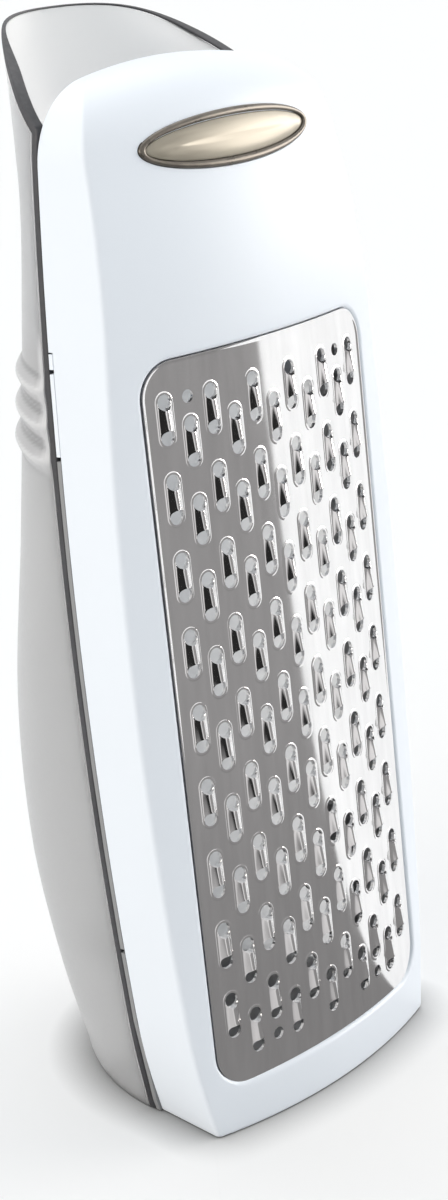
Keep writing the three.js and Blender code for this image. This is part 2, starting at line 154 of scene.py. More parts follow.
class PlateSizes(bpy.types.PropertyGroup):
    """Sizes of the grating plate and its teeth."""

    recess: length("Recess", "Plate face below the cover's face", 0.5)
    gap: length("Gap", "Gap between the plate and the window's edge", 0.1)
    thickness: length("Thickness", "Sheet thickness", 0.6)
    column_pitch: length("Column pitch", "Distance between columns of teeth", 5)
    row_pitch: length("Row pitch", "Distance between rows of teeth", 13.87)
    stagger: length("Stagger", "How much lower every other column sits", 4.7)
    top_drop: length("Top drop", "Plate's top edge to the first hole", 7)
    hole: length("Hole radius", "Radius of each hole", 1.35)
    spacing: length("Hole spacing", "Between the two holes of a tooth", 6.19)
    plain: length("Plain hole radius", "Radius of the plain holes", 1.15)
    plain_out: length("Upper plain hole out", "Upper plain holes from the middle", 20)
    plain_drop: length("Upper plain hole drop", "Upper plain holes below the plate's top edge", 6.9)
    low_out: length("Lower plain hole out", "Lower plain holes from the middle", 15)
    low_rise: length("Lower plain hole rise", "Lower plain holes above the plate's bottom edge", 6.5)
    start: length("Strap start", "How far the strap stands proud at its upper hole", 0.75)
    height: length("Strap height", "How far the strap stands proud at its lower hole", 1.15)
    foot: length("Strap foot", "Half width of the strap at the sheet", 1.6)
    top: length("Strap top", "Half width of the strap's crest", 0.15)
    rim: length("Rim height", "Height of the low rim round both holes", 0.07)
    rim_reach: length("Rim reach", "Rim's outer edge from the line through both holes", 1.95)
    ramp: length("Rim ramp", "Width over which the rim rises", 0.35)
    cut: length("Strap cut", "Width of the steep end of a strap at its hole", 0.08)
    edge_rise: length("Border rise", "How far the sheet's border turns up", 0.25)
    edge_width: length("Border width", "Width of the turned-up border", 0.8)
    side_columns: whole("Side columns", "Columns on each side of the middle", 5)
    rows: whole("Rows", "Teeth in one column", 9)


class BadgeSizes(bpy.types.PropertyGroup):
    """Sizes of the oval badge."""

    height: length("Height", "Height of the badge's middle", 178.7)
    width: length("Width", "Width of the recess", 43.5)
    tall: length("Tall", "Height of the recess", 9.6)
    seat: length("Seat", "Depth of the recess", 1.2)
    bezel: length("Bezel width", "Width of the ring", 1.25)
    gap: length("Gap", "Gap round the ring and round the face", 0.12)
    round: length("Recess round", "Round of the recess's edge", 0.12)
    proud: length("Bezel proud", "How far the ring stands out", 0.5)
    dome: length("Inlay dome", "How far the face stands out in its middle", 0.4)


class ContainerSizes(bpy.types.PropertyGroup):
    """Sizes of the container, its lip, ribs and edging."""

    front: length("Edging front", "Apex line to the edging's front face", 19.5)
    edging: length("Edging", "Thickness of the edging", 1.2)
    reach_front: length("Edging reach", "How far the edging's soft face reaches towards the frame", 0.2)
    edging_out: length("Edging outside", "Depth of the edging on the outside of the lip", 1.3)
    edging_in: length("Edging inside", "Depth of the edging on the inside of the lip", 0.25)
    seam: length("Seam", "Gap between the edging and the container", 0.1)
    wall: length("Wall", "Thickness of the container", 2.2)
    floor: length("Floor", "Thickness of the container's floor", 2.4)
    power: number("Section power", "Plan shape: 2 is an ellipse", 2.3)
    lip_rise: length("Lip rise", "Lip's end above the cover's top", 13)
    lip_length: length("Lip length", "Height over which the lip draws in", 28)
    lip_half: length("Lip half width", "Half width of the lip's end", 24.1)
    lip_thin: number("Lip thinning", "Share by which the lip's end is thinner", 0.75)
    lip_drop: length("Lip start", "Cover's top down to where the edging leaves the front", 8.97)
    rib_top: length("Rib top", "Height of the top rib's middle", 144)
    rib_pitch: length("Rib pitch", "Distance between ribs", 6.2)
    rib_width: length("Rib width", "Height of one rib", 5)
    rib_height: length("Rib height", "How far a rib stands proud", 1.2)
    rib_taper: length("Rib taper", "Length over which a rib runs out near the edging", 4)
    rib_reach: length("Rib reach", "Ribs fade out this far from the middle of the back", 14)
    rib_home: length("Rib home", "Depth at which a rib is at its own height", 13)
    rib_slant: number("Rib slant", "Rise of a rib for each step back", 0.32)
    ribs: whole("Ribs", "Number of grip ribs on each side", 3)


class Finishes(bpy.types.PropertyGroup):
    """Base colours of the finishes."""

    white: shade("Cover white", "Glossy plastic of the cover", (0.825, 0.867, 0.925))
    steel: shade("Plate steel", "Bright stainless sheet", (0.94, 0.93, 0.93))
    # painted shade: the flange is coloured dark grey because it sits in the shaded gap between the cover and
    # the edging
    strip: shade("Flange grey", "Matte plastic of the plate frame's flange", (0.27, 0.27, 0.275))
    pale: shade("Frame pale", "Matte plastic of the plate frame's inside", (0.9, 0.9, 0.91))
    grey: shade("Container grey", "Satin plastic of the container", (0.525, 0.53, 0.55))
    # the ribs show this grey only as a darkened copy for the painted shade in their grooves and a lightened
    # copy for the painted highlight on their crests
    grip: shade("Grip grey", "Firmer plastic of the grip ribs", (0.37, 0.37, 0.38))
    dark: shade("Edging dark", "Elastomer edging", (0.045, 0.045, 0.05))
    bronze: shade("Bezel bronze", "Dark metallic ring", (0.13, 0.115, 0.097))
    champagne: shade("Inlay champagne", "Satin metallic face", (0.31, 0.28, 0.225))
    floor: shade("Floor", "Pale floor", (0.6, 0.6, 0.6))


class StageSettings(bpy.types.PropertyGroup):
    """Camera, lamps and the floor's look."""

    camera: FloatVectorProperty(
        name="Camera",
        description="Place from the front's foot",
        default=(-0.3029, -0.23665, 0.24979),
        subtype="TRANSLATION",
    )
    heading: FloatVectorProperty(
        name="Heading",
        description="Where the camera looks",
        default=(0.6978, 0.6151, -0.3672),
        subtype="DIRECTION",
    )
    lens: FloatProperty(
        name="Lens", description="Focal length on a 36 mm sensor", default=70.35, subtype="DISTANCE_CAMERA"
    )
    world: number("World", "Strength of the even light all round", 0.48)
    world_tone: shade("World tone", "Colour of the even light all round", (0.86, 0.94, 1.0))
    lift: number("Floor lift", "Added white where the floor is seen", 0.3)
    # painted shade: how far the darkening painted round the foot reaches
    contact: length("Contact shade", "How far the soft shade round the foot reaches", 9)
    key: number("Key", "Strength of the lamp on the left", 1.95)
    key_tone: shade("Key tone", "Colour of the lamp on the left", (1.0, 0.94, 0.86))
    back: number("Back", "Strength of the lamp behind and above", 1.35)
    fill: number("Fill", "Strength of the lamp on the right", 4.3)
    fill_tone: shade("Fill tone", "Colour of the lamp on the right", (1.0, 0.955, 0.905))


GROUPS = {
    "grater_front": FrontSizes,
    "grater_plate": PlateSizes,
    "grater_badge": BadgeSizes,
    "grater_container": ContainerSizes,
    "grater_finishes": Finishes,
    "grater_stage": StageSettings,
}


def steps(count, start, end):
    """Evenly spaced values with both ends."""
    return [start + (end - start) * i / count for i in range(count + 1)]


def full_turn(count):
    """Evenly spaced angles of one turn."""
    return [2 * math.pi * i / count for i in range(count)]


def smooth(value, low, high):
    """Smooth step from 0 at low to 1 at high."""
    t = min(max((value - low) / (high - low), 0), 1)
    return t * t * (3 - 2 * t)


def through(knots, at):
    """A smooth curve through (position, value) knots."""

    def slope(i):
        a, b = knots[max(i - 1, 0)], knots[min(i + 1, len(knots) - 1)]
        return (b[1] - a[1]) / (b[0] - a[0])

    right = min(max(bisect_right([k[0] for k in knots], at), 1), len(knots) - 1)
    (x0, y0), (x1, y1) = knots[right - 1], knots[right]
    span = x1 - x0
    t = (at - x0) / span
    hold = (1 + 2 * t) * (1 - t) ** 2 * y0 + t * t * (3 - 2 * t) * y1
    turn = t * (1 - t) ** 2 * slope(right - 1) + t * t * (t - 1) * slope(right)
    return hold + span * turn


def bisect(rises, low, high, turns=40):
    """Where a rising function crosses zero."""
    for _ in range(turns):
        middle = (low + high) / 2
        if rises(middle) < 0:
            low = middle
        else:
            high = middle
    return (low + high) / 2


def mirrored(points):
    """Points on the other side of the middle plane."""
    return [(-x, y, z) for x, y, z in points]


def take_sizes(form, group):
    """Copies a group's sizes to a form, because a property is slow to read again and again."""
    for key in type(group).__annotations__:
        setattr(form, key, getattr(group, key))


class Front:
    """The outer form of the leaning front."""

    BLEND = 25 * MM  # height over which rows turn from level with the table to square with the lean
    FOOT_SHARES = (0, 0.06, 0.2, 0.42, 0.7, 1)  # rows of the bottom edge's round, as shares of its height
    LOW_ROWS = [1.6 * MM, 3 * MM, 5 * MM]  # rows above that round, ever further apart
    EVEN_ROWS = 9 * MM, 100 * MM, 105 * MM  # start and end of the even rows, and start of those by the tab
    TOP_ROWS = 3 * MM  # start of the rows above the flange
    FOLLOWED = 40 * MM, 100 * MM  # between these heights the inner wall begins to follow the side's curve

    def __init__(self, scene):
        take_sizes(self, scene.grater_front)
        self.tan = math.tan(self.lean)
        self.bow_sine = self.bow_rise / self.bow_radius
        turn = self.bow_radius - self.roll_radius
        self.roll_y = self.bow_radius - turn * math.sqrt(1 - self.bow_sine**2)
        self.roll_z = self.bow_start + turn * self.bow_sine
        self.top = self.roll_z + self.roll_radius
        self.window_top = self.window_foot + self.window_height

    def half_width(self, z):
        """Half of the front's width at a height."""
        tuck = max(1 - z / self.tuck_height, 0)
        barrel = math.sqrt(self.side_radius**2 - (z - self.widest) ** 2)
        return self.half - self.side_radius + barrel - self.foot_tuck * tuck**2

    def drop(self, x):
        """How far the arch falls back at a distance from the middle."""
        return self.radius - math.sqrt(self.radius**2 - x * x)

    def face(self, x, z, depth=0.0):
        """How far back the front lies at a depth below its face."""
        d = depth + self.drop(x)
        rise = z - self.bow_start
        if rise <= 0:
            return d
        reach = self.bow_radius - d
        if rise <= reach * self.bow_sine:
            return self.bow_radius - math.sqrt(reach**2 - rise**2)
        reach = self.roll_radius - d
        return self.roll_y - math.sqrt(max(reach**2 - (z - self.roll_z) ** 2, 0))

    def foot_inset(self, z):
        """How far the rounded bottom edge draws in at a height over the table."""
        short = max(self.foot - z, 0)
        return self.foot - math.sqrt(max(self.foot**2 - short**2, 0))

    def level(self, z, y):
        """Slides heights near the foot so that height 0 lies on the table at every depth."""
        return z + y * self.tan * (1 - smooth(z, 0, self.BLEND))

    def foot_rows(self):
        """Heights of the points on the bottom edge's round."""
        return [self.foot * share for share in self.FOOT_SHARES]

    def side_rows(self, end):
        """Heights of the points on the side, closer together near the foot and where the flange ends."""
        start, middle, tab_start = self.EVEN_ROWS
        flange_end = self.frame_top + self.clearance
        rows = self.foot_rows() + self.LOW_ROWS
        rows += steps(18, start, middle) + steps(9, tab_start, self.frame_top)
        rows += [flange_end, flange_end + TINY]
        return rows + steps(6, self.frame_top + self.TOP_ROWS, end)

    def on_face(self, x, z, depth=0.0):
        """A point of the front, or of a surface at a depth below it."""
        y = self.face(x, z, depth) + self.foot_inset(z)
        return x, y, self.level(z, y)

    def turn(self, direction):
        """A direction from the leaning frame to the part's frame."""
        x, y, z = direction
        c, s = math.cos(self.lean), math.sin(self.lean)
        return Vector((x, y * c + z * s, -y * s + z * c))

    def stand(self, point):
        """A point from the leaning frame to the part's frame."""
        return self.turn(point) + Vector((0, FOOT_Y, 0))

    def lay(self, point):
        """A point from the part's frame back to the leaning frame."""
        x, y, z = point
        c, s = math.cos(self.lean), math.sin(self.lean)
        return x, (y - FOOT_Y) * c - z * s, (y - FOOT_Y) * s + z * c

    def corner_centre(self):
        """Centre of the arc that touches both the top arch and the side curve."""
        a = (0.0, self.top - self.radius, self.radius - self.corner)
        b = (self.half - self.side_radius, self.widest, self.side_radius - self.corner)
        dx, dz = b[0] - a[0], b[1] - a[1]
        apart = math.hypot(dx, dz)
        along = (a[2] ** 2 - b[2] ** 2 + apart**2) / (2 * apart)
        aside = math.sqrt(a[2] ** 2 - along**2)
        ux, uz = dx / apart, dz / apart
        ends = [(a[0] + ux * along - k * uz * aside, a[1] + uz * along + k * ux * aside) for k in (-1, 1)]
        return max(ends, key=lambda p: (p[0] > 0, p[1]))

    def outline(self):
        """Right half of the front view, foot to the middle of the top: (x, z, inward x, inward z)."""
        cx, cz = self.corner_centre()
        low = math.atan2(cz - self.widest, cx - (self.half - self.side_radius))
        high = math.atan2(cz - (self.top - self.radius), cx)
        points = []
        for z in self.side_rows(cz + self.corner * math.sin(low)):
            slope = (self.half_width(z + MM) - self.half_width(z)) / MM * smooth(z, *self.FOLLOWED)
            size = math.hypot(1, slope)
            points.append((self.half_width(z), z, -1 / size, slope / size))
        corner = (cx, cz, self.corner, steps(14, low, high))
        arch = (0, self.top - self.radius, self.radius, steps(12, high, math.pi / 2))
        for x, z, radius, angles in (corner, arch):
            for angle in angles[1:]:
                c, s = math.cos(angle), math.sin(angle)
                points.append((x + radius * c, z + radius * s, -c, -s))
        return points


class Skin:
    """Collects the faces of one piece in the leaning frame."""

    def __init__(self):
        self.points, self.faces = [], []

    def add(self, points):
        """Adds points and returns their numbers."""
        start = len(self.points)
        self.points.extend(points)
        return list(range(start, len(self.points)))

    def grid(self, rows, closed=False):
        """Quads between rows of equal length."""
        ids = [self.add(row) for row in rows]
        width = len(rows[0])
        for a, b in zip(ids, ids[1:]):
            for i in range(width if closed else width - 1):
                j = (i + 1) % width
                self.faces.append((a[i], a[j], b[j], b[i]))

    def polygon(self, points):
        """One face."""
        self.faces.append(tuple(self.add(points)))

    def fan(self, ring, centre):
        """Triangles from a ring to its centre."""
        ids = self.add(ring)
        (hub,) = self.add([centre])
        for i, a in enumerate(ids):
            self.faces.append((a, ids[(i + 1) % len(ids)], hub))

    def sheet(self, places, borders, keep, lift):
        """Triangles between flat places and closed borders, lifted into the leaning frame."""
        flat = [Vector(p) for border in borders for p in border]
        edges, start = [], 0
        for border in borders:
            count = len(border)
            edges += [(start + i, start + (i + 1) % count) for i in range(count)]
            start += count
        flat += [Vector(p) for p in places]
        verts, _, faces, *_ = delaunay_2d_cdt(flat, edges, [], 0, TINY)
        ids = self.add([lift(v.x, v.y) for v in verts])
        for f in faces:
            x, z = (sum(verts[i][k] for i in f) / len(f) for k in (0, 1))
            if keep(x, z):
                self.faces.append(tuple(ids[i] for i in f))

    def build(self, name, front, material, node, sharp=35, normal=None):
        """Stands the faces up as a smooth mesh object that stands for a node."""
        mesh = bpy.data.meshes.new(name)
        mesh.from_pydata([front.stand(p) for p in self.points], [], self.faces)
        bm = bmesh.new()
        bm.from_mesh(mesh)
        bmesh.ops.remove_doubles(bm, verts=bm.verts, dist=WELD)
        bmesh.ops.dissolve_degenerate(bm, edges=bm.edges, dist=WELD)
        bmesh.ops.recalc_face_normals(bm, faces=bm.faces)
        bm.to_mesh(mesh)
        bm.free()
        mesh.polygons.foreach_set("use_smooth", [True] * len(mesh.polygons))
        mesh.set_sharp_from_angle(angle=math.radians(sharp))
        piece = bpy.data.objects.new(name, mesh)
        bpy.context.scene.collection.objects.link(piece)
        if normal:
            shade_by_form(mesh, normal)
        else:
            weighted = piece.modifiers.new("Even shading", "WEIGHTED_NORMAL")
            weighted.keep_sharp = True
        mesh.materials.append(material)
        take_place(piece, node)


def shade_by_form(mesh, normal):
    """Shades a mesh by the direction of its form, and flat where a face stands nearly on edge to it."""
    edge_on = 0.25
    outward = [normal(vertex.co) for vertex in mesh.vertices]
    loops = []
    for face in mesh.polygons:
        for i in face.vertices:
            facing = outward[i].dot(face.normal)
            along = outward[i] * math.copysign(1, facing)
            loops.append(along if abs(facing) > edge_on else face.normal.copy())
    mesh.normals_split_custom_set(loops)


def take_place(piece, node):
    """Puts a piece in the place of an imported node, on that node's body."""
    bodies = frame["record"]["behaviour"]["bodies"]
    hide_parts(node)
    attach(piece, next(body for body, nodes in bodies.items() if node in nodes))


def inside(loop, x, z):
    """Whether a flat point lies inside a closed loop."""
    hit = False
    for (x0, z0), (x1, z1) in zip(loop, loop[1:] + loop[:1]):
        if (z0 > z) != (z1 > z) and x < x0 + (z - z0) / (z1 - z0) * (x1 - x0):
            hit = not hit
    return hit


def between(borders, x, z):
    """Whether a flat point lies inside the first of some loops and outside the others."""
    outer, *holes = borders
    return inside(outer, x, z) and not any(inside(hole, x, z) for hole in holes)


def rounded(centres, across, up, count):
    """A closed loop of four quarter rounds, anticlockwise from the lower right one."""
    loop = []
    for quarter, (x, z) in enumerate(centres):
        start = (quarter - 1) * math.pi / 2
        for angle in steps(count, start, start + math.pi / 2):
            loop.append((x + across * math.cos(angle), z + up * math.sin(angle)))
    return loop


def refine(loop, longest):
    """Splits the long sides of a closed loop."""
    fine = []
    for (x0, z0), (x1, z1) in zip(loop, loop[1:] + loop[:1]):
        count = max(1, math.ceil(math.hypot(x1 - x0, z1 - z0) / longest))
        fine += [(x0 + (x1 - x0) * i / count, z0 + (z1 - z0) * i / count) for i in range(count)]
    return fine


def rounded_window(front, grow):
    """The window's loop in front view, grown outwards."""
    r, longest = front.window_corner, 3 * MM
    half, low, high = front.window_half - r, front.window_foot + r, front.window_top - r
    centres = [(half, low), (half, high), (-half, high), (-half, low)]
    return refine(rounded(centres, r + grow, r + grow, 12), longest)


def oval(badge, inset):
    """The badge's oval in front view, drawn in by an inset."""
    a, b = badge.width / 2 - inset, badge.tall / 2 - inset
    return [(a * math.cos(t), badge.height + b * math.sin(t)) for t in full_turn(OVAL_STEPS)]


# Front cover


def cover_section(front, x, z, ix, iz, reach):
    """(inset, depth) points of the wall: inside to the back edge, then outside round to the face."""
    back = front.depth if z <= front.frame_top + front.clearance else front.back
    step = 20 * WELD

    def face(s, depth=0.0):
        return front.face(x + ix * s, z + iz * s, depth)

    # The front edge's round touches the side and the face: its reach and the face's turn settle together
    s, r = front.edge / 2, front.edge
    for _ in range(20):
        turn = math.atan2(face(s) - face(s + step), step)
        s = r * (1 - math.sin(turn))
    tip = min(face(s) + r * math.cos(turn), back - 2 * front.clearance)
    insets = [front.wall + (reach - front.wall) * t * t for t in (1, 0.6, 0.3, 0)]
    inner = [(a, face(a, front.wall)) for a in insets] + [(front.wall, back)]
    end = front.back_round
    outer = [(end * (1 - math.sin(t)), back - end * (1 - math.cos(t))) for t in steps(3, 0, math.pi / 2)]
    outer += [(0, y) for y in steps(5, back - end, tip)[1:]]
    outer += [(r - r * math.cos(t), tip - r * math.sin(t)) for t in steps(6, 0, math.pi / 2 - turn)[1:]]
    insets = [s + (reach - s) * t * t for t in steps(9, 0, 1)[1:]]
    outer += [(a, face(a)) for a in insets]
    drawn = front.foot_inset(z)
    return inner, [(a + drawn, y + drawn * (y < back)) for a, y in outer]


def cover_wall(front):
    """Inner and outer rows of the right-hand wall, foot to top, and the loop where the face begins."""
    side_reach, top_reach = 3 * MM, 11 * MM
    side_turn, top_turn = 0.15, 0.95
    inner_rows, outer_rows, rim = [], [], []
    for x, z, ix, iz in front.outline():
        reach = side_reach + (top_reach - side_reach) * smooth(-iz, side_turn, top_turn)
        inner, outer = cover_section(front, x, z, ix, iz, reach)
        inner_rows.append([(x + ix * s, y, front.level(max(z + iz * s, front.floor), y)) for s, y in inner])
        outer_rows.append([(x + ix * s, y, front.level(z + iz * s, y)) for s, y in outer])
        rim.append((x + ix * reach, z + iz * reach))
    return inner_rows, outer_rows, rim + [(-x, z) for x, z in rim[-2::-1]]


def sink(skin, front, loop_at, r, depth):
    """Rounded edge and upright wall of an opening in the face, whose loop is given for each growth."""
    rings = [(r * (1 - math.sin(t)), r * (1 - math.cos(t))) for t in steps(4, 0, math.pi / 2)]
    rings.append((0.0, depth))
    skin.grid([[front.on_face(x, z, deep) for x, z in loop_at(grow)] for grow, deep in rings], True)


def cover_face(skin, front, badge, border, columns):
    """The outer face round the window and the badge, and the edges of both openings."""
    spare = 5 * MM
    borders = [border, rounded_window(front, front.window_round), oval(badge, -badge.round)]
    levels = front.foot_rows()[1:] + steps(60, front.LOW_ROWS[0], front.top - spare)
    places = [(x, z) for z in levels for x in columns if between(borders, x, z)]
    skin.sheet(places, borders, lambda x, z: between(borders, x, z), front.on_face)
    sink(skin, front, lambda grow: rounded_window(front, grow), front.window_round, front.wall)
    sink(skin, front, lambda grow: oval(badge, -grow), badge.round, badge.seat)
    seat = [front.on_face(x, z, badge.seat) for x, z in oval(badge, 0)]
    skin.fan(seat, front.on_face(0, badge.height, badge.seat))


def cover_inside(skin, front, loop, columns):
    """The inner face round the window, above the cover's floor."""
    low, spare = 4 * MM, 14 * MM
    border = [(x, max(z, front.floor)) for x, z in loop]
    border = [p for i, p in enumerate(border) if i == 0 or p != border[i - 1]]
    borders = [border, rounded_window(front, 0)]

    def lift(x, z):
        y = front.face(x, z, front.wall)
        return x, y, front.level(z, y)

    levels = steps(30, low, front.top - spare)
    places = [(x, z) for z in levels for x in columns[::2] if between(borders, x, z)]
    skin.sheet(places, borders, lambda x, z: between(borders, x, z), lift)


def make_cover(context):
    """Front cover: rounded outer form, window edge, badge recess, back edge and inner faces."""
    front, badge = Front(context.scene), context.scene.grater_badge
    skin = Skin()
    inner, outer, loop = cover_wall(front)
    rows = [a + b for a, b in zip(inner, outer)]
    skin.grid(rows + [mirrored(row) for row in rows[-2::-1]])
    wide, low = loop[0]
    columns = steps(24, -wide, wide)[1:-1]
    foot = [(x, low) for x in columns]
    cover_face(skin, front, badge, loop + foot, columns)
    cover_inside(skin, front, loop, columns)
    side = outer[0]
    skin.polygon(mirrored(side) + [front.on_face(x, z) for x, z in foot] + side[::-1])
    back_edge = inner[0][-2:] + side[:1]
    skin.grid([mirrored(back_edge), back_edge])
    skin.build("front_cover_shell", front, white_plastic(context), "front_cover")


# Grating plate


class Plate:
    """The arched sheet and its field of teeth."""

    HOLE_SIDES = 24
    STRAP_ROWS = 14
    HOLE_SHARE = 0.985  # share of a hole's radius that lies inside its many-sided loop
    TURNED_UP = 0.7  # share of the window's height at which the border is fully turned up
    STRAP_END = 0.3  # share of a hole's radius over which a strap's end falls off

    def __init__(self, context):
        self.front = Front(context.scene)
        take_sizes(self, context.scene.grater_plate)
        self.half = self.spacing / 2
        self.turns = full_turn(self.HOLE_SIDES)
        self.upper_turns = self.turns[1:self.HOLE_SIDES // 2]
        self.levels = steps(self.STRAP_ROWS, -self.half, self.half)
        columns = range(-self.side_columns, self.side_columns + 1)
        self.teeth = [self.tooth(column, row) for column in columns for row in range(self.rows)]
        self.tooth_holes = [(s, z + side * self.half, self.hole) for s, z in self.teeth for side in (1, -1)]
        upper = self.plain_out, self.front.window_top - self.plain_drop
        lower = self.low_out, self.front.window_foot + self.low_rise
        self.plain_holes = [(side * s, z, self.plain) for side in (-1, 1) for s, z in (upper, lower)]

    def tooth(self, column, row):
        """Middle of a tooth on the flat sheet."""
        lowered = (column + self.side_columns) % 2 * self.stagger
        upper = self.front.window_top - self.top_drop - row * self.row_pitch - lowered
        return column * self.column_pitch, upper - self.half

    def nearest(self, s, z):
        """Middle of the tooth that is nearest to a flat place."""
        column = min(max(round(s / self.column_pitch), -self.side_columns), self.side_columns)
        _, first = self.tooth(column, 0)
        row = min(max(round((first - z) / self.row_pitch), 0), self.rows - 1)
        return self.tooth(column, row)

    def arc(self, x):
        """Length along the arch from the middle."""
        return self.front.radius * math.asin(x / self.front.radius)

    def edge_loop(self, inset):
        """The window's loop on the flat sheet, drawn in by an inset."""
        return [(self.arc(x), z) for x, z in rounded_window(self.front, -inset)]

    def border_rise(self, s, z):
        """Height of the sheet's turned-up border."""
        front = self.front
        r, tall = front.window_corner, front.window_height
        across = max(abs(s) - self.arc(front.window_half) + r, 0)
        along = max(abs(z - front.window_foot - tall / 2) - tall / 2 + r, 0)
        inward = r - self.gap - math.hypot(across, along)
        upward = smooth(z - front.window_foot, 0, self.TURNED_UP * tall)
        return self.edge_rise * upward * (1 - smooth(inward, 0, self.edge_width))

    def form(self, s, z, solid=True):
        """Height of the pressed form over the plain arch, with the holes' cuts left out if solid."""
        middle, height = self.nearest(s, z)
        u, v = abs(s - middle), abs(z - height)
        reach, end = self.half - self.hole, self.STRAP_END * self.hole
        share = min(max((height + reach - z) / (2 * reach), 0), 1)
        strap = self.start + (self.height - self.start) * share
        strap *= smooth(self.foot - u, 0, self.foot - self.top)
        strap *= smooth(self.half - v, -end, end)
        if not solid:
            strap *= smooth(math.hypot(u, v - self.half) - self.hole, 0, self.cut)
        rim = smooth(self.rim_reach - math.hypot(u, max(v - self.half, 0)), 0, self.ramp)
        return strap + self.rim * rim + self.border_rise(s, z)

    def lift(self, back):
        """Maps a flat place of the sheet to its front or back face."""

        def place(s, z):
            depth = self.recess - self.form(s, z, False) + (self.thickness if back else 0)
            angle = s / self.front.radius
            radius = self.front.radius - depth
            return radius * math.sin(angle), self.front.radius - radius * math.cos(angle), z

        return place

    def normal(self, point):
        """Outward direction of the pressed form at a point."""
        x, y, z = self.front.lay(point)
        angle = math.atan2(x, self.front.radius - y)
        s, step = angle * self.front.radius, 0.02 * MM
        slope_s = (self.form(s + step, z) - self.form(s - step, z)) / (2 * step)
        slope_z = (self.form(s, z + step) - self.form(s, z - step)) / (2 * step)
        c, n = math.cos(angle), math.sin(angle)
        return self.front.turn((n - c * slope_s, -c - n * slope_s, -slope_z)).normalized()

    def has_sheet(self, s, z):
        """Whether a flat place lies outside every hole."""
        middle, height = self.nearest(s, z)
        if math.hypot(s - middle, abs(z - height) - self.half) < self.hole * self.HOLE_SHARE:
            return False
        return all(math.hypot(s - a, z - b) > r * self.HOLE_SHARE for a, b, r in self.plain_holes)

    def hole_loops(self):
        """The many-sided loop of every hole."""
        for s, z, r in self.tooth_holes + self.plain_holes:
            yield [(s + r * math.cos(t), z + r * math.sin(t)) for t in self.turns]

    def rim_loops(self):
        """Two closed ovals round both holes of each tooth: at the strap's foot and outside the rim."""
        clear = 0.05 * MM
        for s, z in self.teeth:
            for reach in (self.foot, self.rim_reach + clear):
                half = [(reach, v) for v in self.levels]
                half += [(reach * math.cos(t), self.half + reach * math.sin(t)) for t in self.upper_turns]
                yield [(s + side * u, z + side * v) for side in (1, -1) for u, v in half]

    def tooth_places(self):
        """Points that carry the form of each pressing."""
        half, outer, margin = self.half, self.foot + self.ramp / 2, 0.1 * MM
        slope = self.foot - self.top
        across = [self.top + slope * t for t in steps(4, 0, 1)[:-1]] + [outer]
        clear = self.hole + 5 * self.cut
        cuts = [self.hole + self.cut, self.hole + 3 * self.cut]
        for s, z in self.teeth:
            for v in self.levels:
                for u in [0] + across + [-u for u in across]:
                    if math.hypot(u, abs(v) - half) > clear:
                        yield s + u, z + v
            for t in self.upper_turns:
                for side in (-1, 1):
                    for r in cuts:
                        if r * abs(math.cos(t)) < self.foot - margin:
                            yield s + r * math.cos(t), z + side * (half - r * math.sin(t))
                    yield s + outer * math.cos(t), z + side * (half + outer * math.sin(t))

    def open_places(self, end, within):
        """A grid of points inside a loop, on the plain sheet between the teeth."""
        aside, along, apart = 1.15 * self.rim_reach, 0.9 * self.spacing, 1.5 * self.plain
        for s in steps(22, -end, end):
            for z in steps(44, self.front.window_foot + MM, self.front.window_top - MM):
                middle, height = self.nearest(s, z)
                clear = abs(s - middle) > aside or abs(z - height) > along
                clear = clear and all(math.hypot(s - a, z - b) > apart for a, b, _ in self.plain_holes)
                if clear and inside(within, s, z):
                    yield s, z


def make_plate(context):
    """Grating plate: the arched sheet with pressed teeth, each with two round holes."""
    plate = Plate(context)
    skin = Skin()
    border, holes = plate.edge_loop(plate.gap), list(plate.hole_loops())
    border_shares = (0.25, 0.5, 0.75, 1, 1.4)
    rings = [*plate.rim_loops()]
    rings += [plate.edge_loop(plate.gap + plate.edge_width * share) for share in border_shares]
    straight_end, _ = border[0]  # the loop starts where the straight lower edge ends
    grid_end = 1.2 * straight_end
    places = [*plate.tooth_places(), *plate.open_places(grid_end, rings[-1])]
    top, under = plate.lift(back=False), plate.lift(back=True)
    for lift in (top, under):
        skin.sheet(places, [border] + holes + rings, plate.has_sheet, lift)
    for loop in [border] + holes:
        skin.grid([[lift(s, z) for s, z in loop] for lift in (top, under)], True)
    material = bright_steel(context)
    skin.build("grating_plate_sheet", plate.front, material, "grater_plate", normal=plate.normal)


# Badge


def make_badge(context):
    """Oval badge: a rounded ring and a domed face, both following the cover."""
    front, badge = Front(context.scene), context.scene.grater_badge
    gap, half, floor = badge.gap, badge.bezel / 2, badge.seat - badge.gap

    def oval_at(inset, depth):
        return [front.on_face(x, z, depth) for x, z in oval(badge, inset)]

    fullness = 0.8  # of the ring's section: 1 is an ellipse, less is squarer
    rows = [oval_at(gap, floor)]
    for t in steps(12, 0, math.pi):
        rows.append(oval_at(gap + half - half * math.cos(t), -badge.proud * math.sin(t) ** fullness))
    rows += [oval_at(gap + badge.bezel, floor), rows[0]]
    ring = Skin()
    ring.grid(rows, True)
    ring.build("badge_ring", front, bronze_metal(context), "badge_bezel", sharp=60)

    outer = 2 * gap + badge.bezel
    a, b = badge.width / 2 - outer, badge.tall / 2 - outer
    edge, edge_rise, edge_share = 0.35 * MM, 0.08 * MM, 0.4
    crown, crown_power, tip_power = 0.1 * MM, 6, 0.15
    rows = [oval_at(outer, floor), oval_at(outer, 0.0), oval_at(outer + edge * edge_share, -edge_rise)]
    for share in steps(9, 1 - edge / b, 0)[:-1]:
        depth = -badge.dome * (1 - share**2) - crown * (1 - share**crown_power)
        wide, tall = (a - b + b * share) * share**tip_power, b * share
        loop = [(wide * math.cos(t), badge.height + tall * math.sin(t)) for t in full_turn(OVAL_STEPS)]
        rows.append([front.on_face(x, z, depth) for x, z in loop])
    face = Skin()
    face.grid(rows, True)
    face.polygon(rows[-1])
    face.polygon(rows[0])
    face.build("badge_face", front, champagne_metal(context), "badge_inlay", sharp=60)


# Container and edging


